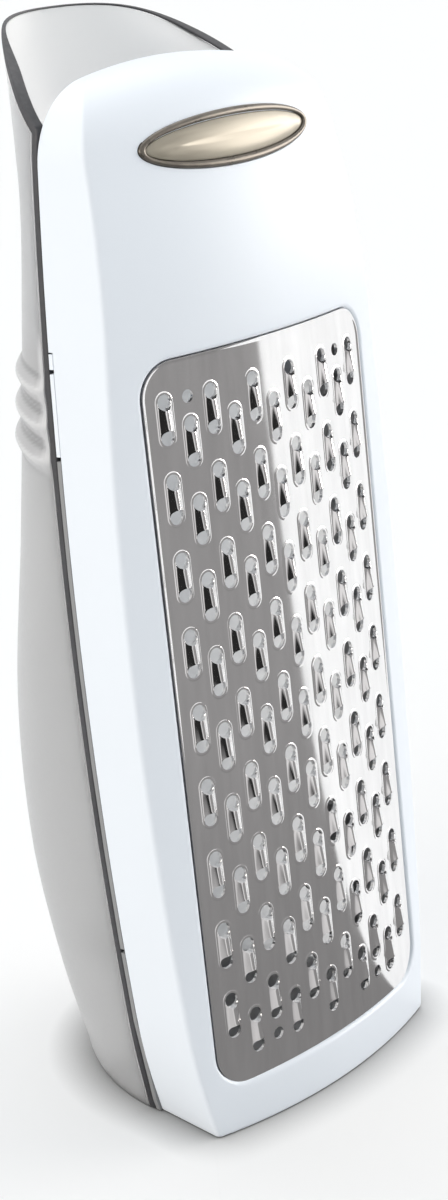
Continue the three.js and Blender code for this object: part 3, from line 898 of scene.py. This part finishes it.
class Container:
    """Outer and inner forms of the container and the edging's path over its lip."""

    LIP_STEPS = 12
    RIB_CREST = 1.2  # sharpness of a rib's crest: 2 is a round one
    SHY = 0.1 * MM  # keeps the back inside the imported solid
    THIN_END = 6 * MM  # below the lip's top, where its wall is at its thinnest
    THIN_SIDE = 0.4, 0.85  # how far round to the back (sine) the lip's wall begins and ends to thin
    LIE_OUT = 0.08, 0.3  # how far round the edging moves to the lip's outside
    RUN_OUT = 0.5, 0.85  # how far round the edging runs out

    def __init__(self, context):
        self.form = Front(context.scene)
        take_sizes(self, context.scene.grater_container)
        self.lip_top = self.form.top + self.lip_rise
        self.knots = [(z * MM, d * MM) for z, d in BELLY]
        self.knots += [(self.lip_top - z * MM, d * MM) for z, d in NECK]
        self.path = self.lip_path()

    def lip_path(self):
        """Points along the edging's front face after it leaves the front: (y, z, along y, along z)."""
        start = self.form.top - self.lip_drop
        knots = [(self.front + b * MM, start + u * MM) for b, u in LIP_RUN]
        last = len(knots) - 1
        path = []
        for i in range(last):
            p0, p1, p2, p3 = (knots[min(max(i + k, 0), last)] for k in (-1, 0, 1, 2))
            stretch = steps(self.LIP_STEPS, 0, 1)
            for t in stretch if i == last - 1 else stretch[:-1]:
                place, along = [], []
                for k in (0, 1):
                    v0, v1 = (p2[k] - p0[k]) / 2, (p3[k] - p1[k]) / 2
                    a, b = 2 * p1[k] - 2 * p2[k] + v0 + v1, -3 * p1[k] + 3 * p2[k] - 2 * v0 - v1
                    place.append(a * t**3 + b * t**2 + v0 * t + p1[k])
                    along.append(3 * a * t**2 + 2 * b * t + v0)
                size = math.hypot(*along)
                path.append((*place, along[0] / size, along[1] / size))
        return path

    def rim_height(self, y, distance):
        """Height of the edging's face, set back by a distance, at a depth y."""
        line = [(p[0] + p[3] * distance, p[1] - p[2] * distance) for p in self.path]
        for (y0, z0), (y1, z1) in zip(line, line[1:]):
            if y <= y1 or (y1, z1) == line[-1]:
                return z0 + (z1 - z0) * (y - y0) / (y1 - y0)

    def half_width(self, z):
        """Half of the container's width at a height: the front's, drawn in towards the lip's end."""
        lip = min(max((z - self.lip_top) / self.lip_length + 1, 0), 1) ** 2
        return self.form.half_width(z) * (1 - lip) + self.lip_half * lip

    def swell(self, z):
        """How far the ribs stand proud at a height."""
        best = 0.0
        for rib in range(self.ribs):
            off = 2 * abs(z - self.rib_top + rib * self.rib_pitch) / self.rib_width
            best = max(best, 1 - off**self.RIB_CREST)
        return self.rib_height * best

    def sizes(self, z, inset):
        """Half width and depth of the plan at a height, for a wall drawn in by an inset."""
        step = 0.1 * MM
        deep = through(self.knots, z)
        tilt = math.atan((through(self.knots, z + step) - deep) / step)
        return self.half_width(z) - inset, deep - self.SHY - inset * math.cos(tilt)

    def thinning(self, z, angle):
        """Share of the wall's thickness: the lip's end runs out thin at the back."""
        up = smooth(z, self.lip_top - self.lip_length, self.lip_top - self.THIN_END)
        return 1 - self.lip_thin * up * smooth(math.sin(angle), *self.THIN_SIDE)

    def edging_depth(self, angle, inset):
        """Depth of the edging: it lies on the outside beside the lip, and runs out thin at its end."""
        back = math.sin(angle)
        side = self.edging_in if inset else self.edging_out
        depth = self.edging + (side - self.edging) * smooth(back, *self.LIE_OUT)
        return depth + (self.edging_in - depth) * smooth(back, *self.RUN_OUT)

    def point(self, z, angle, inset):
        """A point of the wall: angle 0 is the right-hand front edge, and a quarter turn the back."""
        wide, deep = self.sizes(z, inset * self.thinning(z, angle))
        c, s = math.cos(angle), max(math.sin(angle), 0.0)
        x = math.copysign(abs(c) ** (2 / self.power), c)
        y = s ** (2 / self.power)
        swell = 0.0
        if inset == 0:
            level = z - (y * deep - self.rib_home) * self.rib_slant
            swell = self.swell(level) * smooth(y * deep, 0, self.rib_taper)
            swell *= smooth(abs(x) * wide, self.rib_reach, 2 * self.rib_reach)
        return x * (wide + swell), self.front + y * (deep + swell), z

    def start_angle(self, z, distance, inset):
        """Angle at which the wall lies a distance behind the edging's front face."""
        _, deep = self.sizes(z, inset)
        return math.asin(min(distance / deep, 1) ** (self.power / 2))

    def rim_point(self, angle, distance, inset):
        """Where the wall at an angle meets the edging's face set back by a distance."""

        def over(z):
            return z - self.rim_height(self.point(z, angle, inset)[1], distance)

        return self.point(bisect(over, self.lip_top - 2 * self.lip_length, self.lip_top), angle, inset)

    def low_point(self, z, angle, inset):
        """A point near the foot, at a height over the table."""
        x, y, _ = self.point(z, angle, inset)
        for _ in range(8):
            x, y, at = self.point(self.form.level(z, y), angle, inset)
        return x, y, at

    def rim_line(self, deep, inset):
        """From the right foot up the side and over the lip to its middle, on the edging's front or back."""
        distance = self.edging if deep else TINY
        end = self.path[0][1]
        for _ in range(4):
            first = self.start_angle(end, distance, inset)
            end = self.rim_point(first, distance, inset)[2]
        line = []
        for z in steps(60, self.form.clearance, end)[:-1]:
            line.append(self.low_point(z, self.start_angle(z, distance, inset), inset))
        for angle in steps(48, first, math.pi / 2):
            distance = self.edging_depth(angle, inset) if deep else TINY
            line.append(self.rim_point(angle, distance, inset))
        return line


def container_rows(vessel, inset, foot):
    """Rows of one face of the wall from the foot to the rim, closest together at the ribs."""
    count, lowest = 96, 2 * MM
    foot_end, belly_start, belly_end, back_start = 8 * MM, 9.5 * MM, 40 * MM, 44 * MM
    distance = vessel.edging + vessel.seam
    neck = vessel.lip_top - vessel.lip_length
    slack = vessel.rib_home * vessel.rib_slant
    ribs_low = vessel.rib_top - (vessel.ribs - 1) * vessel.rib_pitch - vessel.rib_width / 2 - slack
    ribs_high = vessel.rib_top + vessel.rib_width / 2 + slack
    levels = steps(8, foot, foot_end) + steps(12, belly_start, belly_end)[1:]
    levels += steps(22, back_start, ribs_low) + steps(72, ribs_low, ribs_high)[1:]
    levels += steps(10, ribs_high, neck)[1:]
    rows = []
    for z in levels:
        first = vessel.start_angle(max(z, lowest), distance, inset)
        angles = steps(count, first, math.pi - first)
        rows.append([vessel.low_point(z, a, inset) for a in angles])
    rims = [vessel.rim_point(a, vessel.edging_depth(a, inset) + vessel.seam, inset) for a in angles]
    for t in steps(16, 0, 1)[1:]:
        rows.append([vessel.point(neck + (rim[2] - neck) * t, a, inset) for a, rim in zip(angles, rims)])
    return rows


def make_container(context):
    """Container: deep belly, slim neck, pour lip and grip ribs, as one hollow wall."""
    vessel = Container(context)
    skin = Skin()
    outer = container_rows(vessel, 0.0, 0.0)
    inner = container_rows(vessel, vessel.wall, vessel.floor)
    skin.grid(outer)
    skin.grid(inner)
    for end in (0, -1):
        skin.grid([[row[end] for row in outer], [row[end] for row in inner]])
    skin.grid([outer[-1], inner[-1]])
    skin.polygon(outer[0])
    skin.polygon(inner[0])
    skin.polygon([outer[0][0], inner[0][0], inner[0][-1], outer[0][-1]])
    skin.build("container_shell", vessel.form, satin_grey(context), "container", sharp=50)


def edging_line(vessel, deep, inset):
    """One long corner of the edging, from the right foot over the lip to the left foot."""
    half = vessel.rim_line(deep, inset)
    if not deep:
        half = [(x, y - vessel.reach_front, z) for x, y, z in half]
    return half + mirrored(half[-2::-1])


def make_edging(context):
    """Dark edging round the container's front edge and lip, with rounded corners."""
    vessel = Container(context)
    across, deep = 0.15, 0.3  # rounds of the corners as shares of the section
    centres = [(1 - across, deep), (1 - across, 1 - deep), (across, 1 - deep), (across, deep)]
    section = rounded(centres, across, deep, 4)
    lines = [edging_line(vessel, back, inset) for back in (False, True) for inset in (0.0, vessel.wall)]
    rows = []
    for corners in zip(*lines):
        front_out, front_in, back_out, back_in = map(Vector, corners)
        rows.append([
            tuple(front_out.lerp(front_in, a).lerp(back_out.lerp(back_in, a), d)) for a, d in section
        ])
    skin = Skin()
    skin.grid(rows, True)
    skin.polygon(rows[0])
    skin.polygon(rows[-1])
    skin.build("rim_edging", vessel.form, dark_elastomer(context), "rim_seal", sharp=50)


# Finishes


def add_math(tree, operation, *values):
    """A math node's result, from numbers and other nodes' outputs."""
    node = tree.nodes.new("ShaderNodeMath")
    node.operation = operation
    for socket, value in zip(node.inputs, values):
        if isinstance(value, float):
            socket.default_value = value
        else:
            tree.links.new(value, socket)
    return node.outputs[0]


def scaled(colour, share):
    """A colour made darker or lighter."""
    return tuple(min(c * share, 1.0) for c in colour)


class Finish:
    """A principled material whose nodes are added one line at a time."""

    NOISE_LOW, NOISE_SPAN = 0.3, 0.4  # the stretch in which most of a noise's values lie

    def __init__(self, name, colour, roughness, metallic=0.0):
        self.material = bpy.data.materials.new(name)
        self.material.use_nodes = True
        self.tree = self.material.node_tree
        self.shader = next(n for n in self.tree.nodes if n.type == "BSDF_PRINCIPLED")
        self.set("Base Color", (*colour, 1))
        self.set("Roughness", roughness)
        self.set("Metallic", metallic)
        coordinates = self.node("ShaderNodeTexCoord")
        self.place = coordinates.outputs["Object"]
        self.normal = coordinates.outputs["Normal"]

    def set(self, socket, value):
        """Gives a socket of the shader a plain value."""
        self.shader.inputs[socket].default_value = value

    def node(self, kind, **inputs):
        """Adds a node and sets its inputs by name."""
        node = self.tree.nodes.new(kind)
        for key, value in inputs.items():
            node.inputs[key.replace("_", " ")].default_value = value
        return node

    def link(self, output, node, socket):
        """Links an output to a node's input."""
        self.tree.links.new(output, node.inputs[socket])

    def split(self, vector):
        """The X, Y and Z of a vector."""
        axes = self.node("ShaderNodeSeparateXYZ")
        self.link(vector, axes, "Vector")
        return axes.outputs

    def upright(self, front):
        """Distance from the middle, depth and height in the leaning frame, each with its offset."""
        turned = self.node("ShaderNodeMapping", Rotation=(front.lean, 0, 0))
        self.link(self.place, turned, "Vector")
        axes = self.split(turned.outputs["Vector"])
        return {
            "aside": (add_math(self.tree, "ABSOLUTE", axes["X"]), 0.0),
            "depth": (axes["Y"], FOOT_Y * math.cos(front.lean)),
            "height": (axes["Z"], FOOT_Y * math.sin(front.lean)),
        }

    def beyond(self, axis, start, run, low=0.0, high=1.0):
        """Goes from low to high over a run that begins at a place along an axis."""
        value, offset = axis
        first = offset + start
        ranged = self.node(
            "ShaderNodeMapRange", From_Min=first, From_Max=first + run, To_Min=low, To_Max=high
        )
        self.link(value, ranged, "Value")
        return ranged.outputs["Result"]

    def facing_in(self):
        """1 on the walls that face the middle plane, and 0 on those that face away from it."""
        outward = add_math(self.tree, "MULTIPLY", self.split(self.place)["X"], self.split(self.normal)["X"])
        return self.beyond((outward, 0.0), -MM, MM, 1, 0)

    def either(self, *values):
        """The largest of some values."""
        largest, *others = values
        for value in others:
            largest = add_math(self.tree, "MAXIMUM", largest, value)
        return largest

    def noise(self, scale, detail=3.0, stretch=(1, 1, 1)):
        """Noise over the piece, finer along the axes that are stretched more."""
        mapping = self.node("ShaderNodeMapping", Scale=stretch)
        self.link(self.place, mapping, "Vector")
        noise = self.node("ShaderNodeTexNoise", Scale=scale, Detail=detail)
        self.link(mapping.outputs["Vector"], noise, "Vector")
        return noise.outputs["Fac"]

    def spread(self, noise, low, high):
        """Maps the middle of a noise to a range."""
        return self.beyond((noise, 0.0), self.NOISE_LOW, self.NOISE_SPAN, low, high)

    def blend(self, value, low, high):
        """Colour between two, each given as numbers or as another node's output."""
        mix = self.node("ShaderNodeMix")
        mix.data_type = "RGBA"
        for name, colour in (("A", low), ("B", high)):
            socket = next(s for s in mix.inputs if s.name == name and s.type == "RGBA")
            if isinstance(colour, tuple):
                socket.default_value = (*colour, 1)
            else:
                self.tree.links.new(colour, socket)
        self.link(value, mix, "Factor")
        return next(s for s in mix.outputs if s.type == "RGBA")

    def mottled(self, noise, colour, dark, light):
        """A colour that a noise makes darker and lighter by shares."""
        return self.blend(self.spread(noise, 0, 1), scaled(colour, dark), scaled(colour, light))

    def paint(self, colour):
        """Takes the base colour from a node's output."""
        self.link(colour, self.shader, "Base Color")

    def vary_roughness(self, noise, low, high):
        """Spreads the roughness over a range by a noise."""
        self.link(self.spread(noise, low, high), self.shader, "Roughness")

    def bump(self, noise, height, strength):
        """Fine relief of the surface's texture."""
        bump = self.node("ShaderNodeBump", Strength=strength, Distance=height)
        self.link(noise, bump, "Height")
        self.link(bump.outputs["Normal"], self.shader, "Normal")


def white_plastic(context):
    """Glossy injection-moulded white with a faint flow and fine polish marks."""
    colour = tuple(context.scene.grater_finishes.white)
    finish = Finish("glossy_white_plastic", colour, roughness=0.32)
    finish.set("Specular IOR Level", 0.22)
    flow, polish, skin = finish.noise(14, 2), finish.noise(900, 2), finish.noise(2600, 2)
    finish.paint(finish.mottled(flow, colour, 0.985, 1.01))
    finish.vary_roughness(polish, 0.28, 0.36)
    finish.bump(skin, height=0.02 * MM, strength=0.08)
    return finish.material


def bright_steel(context):
    """Bright rolled sheet: fine lengthwise grain and slight cloudiness."""
    colour = tuple(context.scene.grater_finishes.steel)
    finish = Finish("bright_stainless", colour, roughness=0.08, metallic=1.0)
    grain, cloud = finish.noise(420, 3, stretch=(1, 1, 0.06)), finish.noise(60, 3)
    finish.paint(finish.mottled(grain, colour, 0.96, 1.05))
    finish.vary_roughness(cloud, 0.06, 0.11)
    finish.bump(grain, height=0.01 * MM, strength=0.1)
    return finish.material


def satin_grey(context):
    """Satin moulded grey that lets light in, with firmer ribs: painted shade in their grooves and painted
    highlights on their crests.
    """
    tones, vessel = context.scene.grater_finishes, Container(context)
    colour, grip = tuple(tones.grey), tuple(tones.grip)
    finish = Finish("satin_grey_plastic", colour, roughness=0.34)
    finish.set("Specular IOR Level", 0.55)
    finish.set("Subsurface Radius", (1, 1, 1))
    finish.set("Subsurface Scale", 20 * MM)
    axes, fade = finish.upright(vessel.form), 4 * MM
    below = finish.beyond(axes["height"], vessel.rib_top - vessel.ribs * vessel.rib_pitch, fade, 1, 0)
    above = finish.beyond(axes["height"], vessel.rib_top + vessel.rib_pitch / 2, fade)
    behind = finish.beyond(axes["aside"], vessel.rib_reach, vessel.rib_reach, 1, 0)
    plain = finish.either(below, above, behind, finish.facing_in())
    rib_translucence, hollow, crest_run = 0.35, 0.47, 0.06
    finish.link(finish.beyond((plain, 0.0), 0, 1, rib_translucence, 1), finish.shader, "Subsurface Weight")
    # painted shade and highlight: the mesh's pointiness paints the ribs' grooves darker and their crests
    # lighter
    pointed = finish.node("ShaderNodeNewGeometry").outputs["Pointiness"]
    rib_painted_light = finish.beyond((pointed, 0.0), hollow, crest_run)
    ribs = finish.blend(rib_painted_light, scaled(grip, 0.55), scaled(grip, 1.7))
    finish.paint(finish.blend(plain, ribs, finish.mottled(finish.noise(20, 2), colour, 0.97, 1.02)))
    fine = finish.noise(1500, 3)
    finish.vary_roughness(fine, 0.3, 0.4)
    finish.bump(fine, height=0.03 * MM, strength=0.15)
    return finish.material


def dark_elastomer(context):
    """Matte dark elastomer."""
    colour = tuple(context.scene.grater_finishes.dark)
    finish = Finish("dark_elastomer", colour, roughness=0.55)
    fine, cloud = finish.noise(1200, 3), finish.noise(90, 2)
    finish.paint(finish.mottled(cloud, colour, 0.85, 1.2))
    finish.vary_roughness(fine, 0.48, 0.65)
    finish.bump(fine, height=0.04 * MM, strength=0.2)
    return finish.material


def matte_frame(context):
    """Fine matte plastic: pale walls, and a flange whose dark grey below its white upper tab is painted
    shade.
    """
    tones, front = context.scene.grater_finishes, context.scene.grater_front
    finish = Finish("matte_frame_grey", tuple(tones.strip), roughness=0.5)
    axes, crisp = finish.upright(front), 0.2 * MM
    tab = finish.beyond(axes["height"], front.tab_foot, crisp)
    # painted shade: below the tab the flange takes the dark grey that stands in for the gap's shade
    strip = finish.blend(tab, tuple(tones.strip), tuple(tones.white))
    flange = finish.beyond(axes["depth"], front.depth - crisp, crisp)
    finish.paint(finish.blend(flange, tuple(tones.pale), strip))
    fine = finish.noise(1400, 3)
    finish.vary_roughness(fine, 0.45, 0.6)
    finish.bump(fine, height=0.03 * MM, strength=0.15)
    return finish.material


def bronze_metal(context):
    """Dark bronze plated ring."""
    colour = tuple(context.scene.grater_finishes.bronze)
    finish = Finish("dark_bronze", colour, roughness=0.3, metallic=0.6)
    wear, skin = finish.noise(220, 4), finish.noise(1800, 2)
    finish.paint(finish.mottled(wear, colour, 0.8, 1.35))
    finish.vary_roughness(wear, 0.24, 0.4)
    finish.bump(skin, height=0.01 * MM, strength=0.15)
    return finish.material


def champagne_metal(context):
    """Satin champagne face with a fine sideways brushing."""
    colour = tuple(context.scene.grater_finishes.champagne)
    finish = Finish("satin_champagne", colour, roughness=0.34, metallic=0.35)
    brushing = finish.noise(900, 3, stretch=(0.03, 1, 1))
    finish.paint(finish.mottled(brushing, colour, 0.92, 1.08))
    finish.vary_roughness(brushing, 0.28, 0.42)
    finish.bump(brushing, height=0.01 * MM, strength=0.15)
    return finish.material


def make_frame_finish(context):
    """Plate frame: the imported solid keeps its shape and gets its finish."""
    node = frame["nodes"]["plate_frame"]
    node.data.materials.clear()
    node.data.materials.append(matte_frame(context))


# Stage


def seen_rays(tree):
    """1 for what the camera, mirrors and glass see, and 0 for what lights the object."""
    rays = tree.nodes.new("ShaderNodeLightPath").outputs
    seen = add_math(tree, "MAXIMUM", rays["Is Camera Ray"], rays["Is Glossy Ray"])
    return add_math(tree, "MAXIMUM", seen, rays["Is Transmission Ray"])


def pale_floor(context):
    """Pale floor that keeps the shadow, with a painted contact shade round the foot, and is lifted to white
    only where it is seen.
    """
    tone, stage = tuple(context.scene.grater_finishes.floor), context.scene.grater_stage
    finish = Finish("pale_floor", tone, roughness=0.9)
    finish.set("Specular IOR Level", 0.0)
    # painted shade: an occlusion node darkens the floor's colour and its white lift close to the foot
    contact = finish.node("ShaderNodeAmbientOcclusion", Distance=stage.contact).outputs["AO"]
    finish.paint(finish.blend(contact, (0, 0, 0), tone))
    lift = add_math(finish.tree, "MULTIPLY", seen_rays(finish.tree), stage.lift)
    finish.link(add_math(finish.tree, "MULTIPLY", lift, contact), finish.shader, "Emission Strength")
    finish.set("Emission Color", (1, 1, 1, 1))
    return finish.material


def studio_dark():
    """Painted reflection: a glow that paints the floor's shade and light into mirrors, in tones by direction,
    for near floor and for far.
    """
    near, far = 0.12, 0.4
    finish = Finish("studio_dark", (0, 0, 0), roughness=1.0)
    finish.set("Specular IOR Level", 0.0)
    turn = finish.node("ShaderNodeTexGradient")
    turn.gradient_type = "RADIAL"
    finish.link(finish.place, turn, "Vector")
    away = finish.node("ShaderNodeVectorMath")
    away.operation = "LENGTH"
    finish.link(finish.place, away, 0)
    mix = finish.node("ShaderNodeMix")
    finish.link(finish.beyond((away.outputs["Value"], 0.0), near, far - near), mix, "Factor")
    # painted reflection: near and far glow tones by direction
    for socket, tones in (("A", NEAR_REFLECTION_TONES), ("B", FAR_REFLECTION_TONES)):
        ramp = finish.node("ShaderNodeValToRGB")
        stops = ramp.color_ramp.elements
        stops.remove(stops[0])
        for i, (degrees, tone) in enumerate(tones):
            stop = stops[0] if i == 0 else stops.new(0.5)
            stop.position = degrees / 360 + 0.5
            stop.color = (tone, tone, tone, 1)
        finish.link(turn.outputs["Fac"], ramp, "Fac")
        finish.link(ramp.outputs["Color"], mix, socket)
    finish.link(mix.outputs["Result"], finish.shader, "Emission Strength")
    finish.set("Emission Color", (1, 0.985, 0.985, 1))
    return finish.material


def add_flat(name, rows, height, material):
    """A piece of the stage: one flat face, or quads between two rows of points."""
    mesh = bpy.data.meshes.new(name)
    count = len(rows[0])
    faces = [tuple(range(count))]
    if len(rows) > 1:
        faces = [(i, i + 1, count + i + 1, count + i) for i in range(count - 1)]
    mesh.from_pydata([point for row in rows for point in row], [], faces)
    flat = bpy.data.objects.new(name, mesh)
    flat.location.z = height
    bpy.context.scene.collection.objects.link(flat)
    mesh.materials.append(material)
    flat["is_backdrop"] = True
    return flat


def add_painted_reflection(height):
    """Painted reflection: a glowing floor sector and low wall round a hub beside the grater, seen only in
    mirrors, in place of the floor's shade.
    """
    hub, reach, tall = Vector((-0.045, 0.03)), 3.5, 0.6
    turns = steps(12, math.radians(-179), math.radians(-45.5))
    rim = [(reach * math.cos(t) - hub.x, reach * math.sin(t) - hub.y, 0) for t in turns]
    sector = [[(-hub.x, -hub.y, 0)] + rim]
    wall = [rim, [(x, y, tall) for x, y, _ in rim]]
    for name, rows in (("studio_dark", sector), ("studio_wall", wall)):
        # painted reflection: sheets that glow with the floor's shade and light for mirrors only
        dark = add_flat(name, rows, height, studio_dark())
        dark.location.xy = hub
        for ray in ("camera", "diffuse", "transmission", "volume_scatter", "shadow"):
            setattr(dark, "visible_" + ray, False)


def add_sun(name, place, strength, spread, colour):
    """A far soft lamp that shines from a direction, spread over an angle in degrees."""
    lamp = bpy.data.lights.new(name, "SUN")
    lamp.energy = strength
    lamp.angle = math.radians(spread)
    lamp.color = colour
    holder = bpy.data.objects.new(name, lamp)
    holder.location = place
    holder.rotation_euler = (-Vector(place)).to_track_quat("-Z", "Y").to_euler()
    bpy.context.scene.collection.objects.link(holder)


def add_world(scene):
    """Even light all round, which the camera, mirrors and glass see as plain white."""
    world = bpy.data.worlds.new("studio")
    world.use_nodes = True
    tree = world.node_tree
    even = next(n for n in tree.nodes if n.type == "BACKGROUND")
    even.inputs["Color"].default_value = (*scene.grater_stage.world_tone, 1)
    even.inputs["Strength"].default_value = scene.grater_stage.world
    white, mix = (tree.nodes.new("ShaderNode" + kind) for kind in ("Background", "MixShader"))
    white.inputs["Color"].default_value = (1, 1, 1, 1)
    tree.links.new(seen_rays(tree), mix.inputs["Fac"])
    tree.links.new(even.outputs[0], mix.inputs[1])
    tree.links.new(white.outputs[0], mix.inputs[2])
    output = next(n for n in tree.nodes if n.type == "OUTPUT_WORLD")
    tree.links.new(mix.outputs[0], output.inputs["Surface"])
    scene.world = world


def add_camera(scene):
    """Camera at the photograph's angle."""
    stage = scene.grater_stage
    camera = bpy.data.cameras.new("camera")
    camera.lens = stage.lens
    camera.sensor_width = 36
    camera.clip_start = 0.01
    holder = bpy.data.objects.new("camera", camera)
    holder.location = Vector(stage.camera) + Vector((0, FOOT_Y, 0))
    holder.rotation_euler = Vector(stage.heading).to_track_quat("-Z", "Y").to_euler()
    scene.collection.objects.link(holder)
    scene.camera = holder


def make_stage(context):
    """Floor, painted reflection of the floor's shade, lamps, even surrounding light and the camera."""
    scene, stage = context.scene, context.scene.grater_stage
    wide, floor_drop, reflection_drop = 8.0, 0.06 * MM, 0.03 * MM
    corners = [(-wide, -wide, 0), (wide, -wide, 0), (wide, wide, 0), (-wide, wide, 0)]
    add_flat("floor", [corners], CAD_BOX[0].z - floor_drop, pale_floor(context))
    # painted reflection of the floor's shade, seen only in mirrors
    add_painted_reflection(CAD_BOX[0].z - reflection_drop)
    add_sun("key_left", (-0.9, 0.1, 0.3), stage.key, spread=50, colour=stage.key_tone)
    add_sun("back_top", (0.25, 0.5, 1.0), stage.back, spread=60, colour=(1.0, 1.0, 1.0))
    add_sun("fill_right", (0.95, -0.47, 0.05), stage.fill, spread=50, colour=stage.fill_tone)
    add_world(scene)
    add_camera(scene)
    scene.view_settings.view_transform = "Standard"


class GRATER_OT_stage(bpy.types.Operator):
    """Add the floor, lamps and camera"""

    bl_idname = "grater.stage"
    bl_label = "Stage"
    bl_options = {"REGISTER", "UNDO"}

    def execute(self, context):
        make_stage(context)
        return {"FINISHED"}


class GRATER_OT_cover(bpy.types.Operator):
    """Build the white front cover"""

    bl_idname = "grater.cover"
    bl_label = "Front Cover"
    bl_options = {"REGISTER", "UNDO"}

    def execute(self, context):
        make_cover(context)
        return {"FINISHED"}


class GRATER_OT_plate(bpy.types.Operator):
    """Build the arched plate and its teeth"""

    bl_idname = "grater.plate"
    bl_label = "Grating Plate"
    bl_options = {"REGISTER", "UNDO"}

    def execute(self, context):
        make_plate(context)
        return {"FINISHED"}


class GRATER_OT_badge(bpy.types.Operator):
    """Build the oval ring and its face"""

    bl_idname = "grater.badge"
    bl_label = "Badge"
    bl_options = {"REGISTER", "UNDO"}

    def execute(self, context):
        make_badge(context)
        return {"FINISHED"}


class GRATER_OT_container(bpy.types.Operator):
    """Build the container with its lip and ribs"""

    bl_idname = "grater.container"
    bl_label = "Container"
    bl_options = {"REGISTER", "UNDO"}

    def execute(self, context):
        make_container(context)
        return {"FINISHED"}


class GRATER_OT_edging(bpy.types.Operator):
    """Build the dark edging of the container"""

    bl_idname = "grater.edging"
    bl_label = "Edging"
    bl_options = {"REGISTER", "UNDO"}

    def execute(self, context):
        make_edging(context)
        return {"FINISHED"}


class GRATER_OT_frame(bpy.types.Operator):
    """Give the plate frame its finish"""

    bl_idname = "grater.frame"
    bl_label = "Plate Frame"
    bl_options = {"REGISTER", "UNDO"}

    def execute(self, context):
        make_frame_finish(context)
        return {"FINISHED"}


OPERATORS = [
    GRATER_OT_stage,
    GRATER_OT_cover,
    GRATER_OT_plate,
    GRATER_OT_badge,
    GRATER_OT_container,
    GRATER_OT_edging,
    GRATER_OT_frame,
]


class GRATER_PT_panel(bpy.types.Panel):
    """Lists the pieces and their sizes."""

    bl_label = "Parmesan Grater"
    bl_idname = "GRATER_PT_panel"
    bl_space_type = "VIEW_3D"
    bl_region_type = "UI"
    bl_category = "Grater"

    def draw(self, context):
        column = self.layout.column(align=True)
        for cls in OPERATORS:
            column.operator(cls.bl_idname)
        for name, group in GROUPS.items():
            box = self.layout.box()
            for key in group.__annotations__:
                box.prop(getattr(context.scene, name), key)


CLASSES = [*GROUPS.values(), *OPERATORS, GRATER_PT_panel]


def register():
    for cls in CLASSES:
        bpy.utils.register_class(cls)
    for name, group in GROUPS.items():
        setattr(bpy.types.Scene, name, PointerProperty(type=group))


def unregister():
    for name in GROUPS:
        delattr(bpy.types.Scene, name)
    for cls in reversed(CLASSES):
        bpy.utils.unregister_class(cls)


def main():
    register()
    for name in ("stage", "cover", "plate", "badge", "container", "edging", "frame"):
        getattr(bpy.ops.grater, name)()
    boxes = {"cad": CAD_BOX, "visual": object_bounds()}
    {key: [list(corner) for corner in box] for key, box in boxes.items()}


if __name__ == "__main__":
    main()
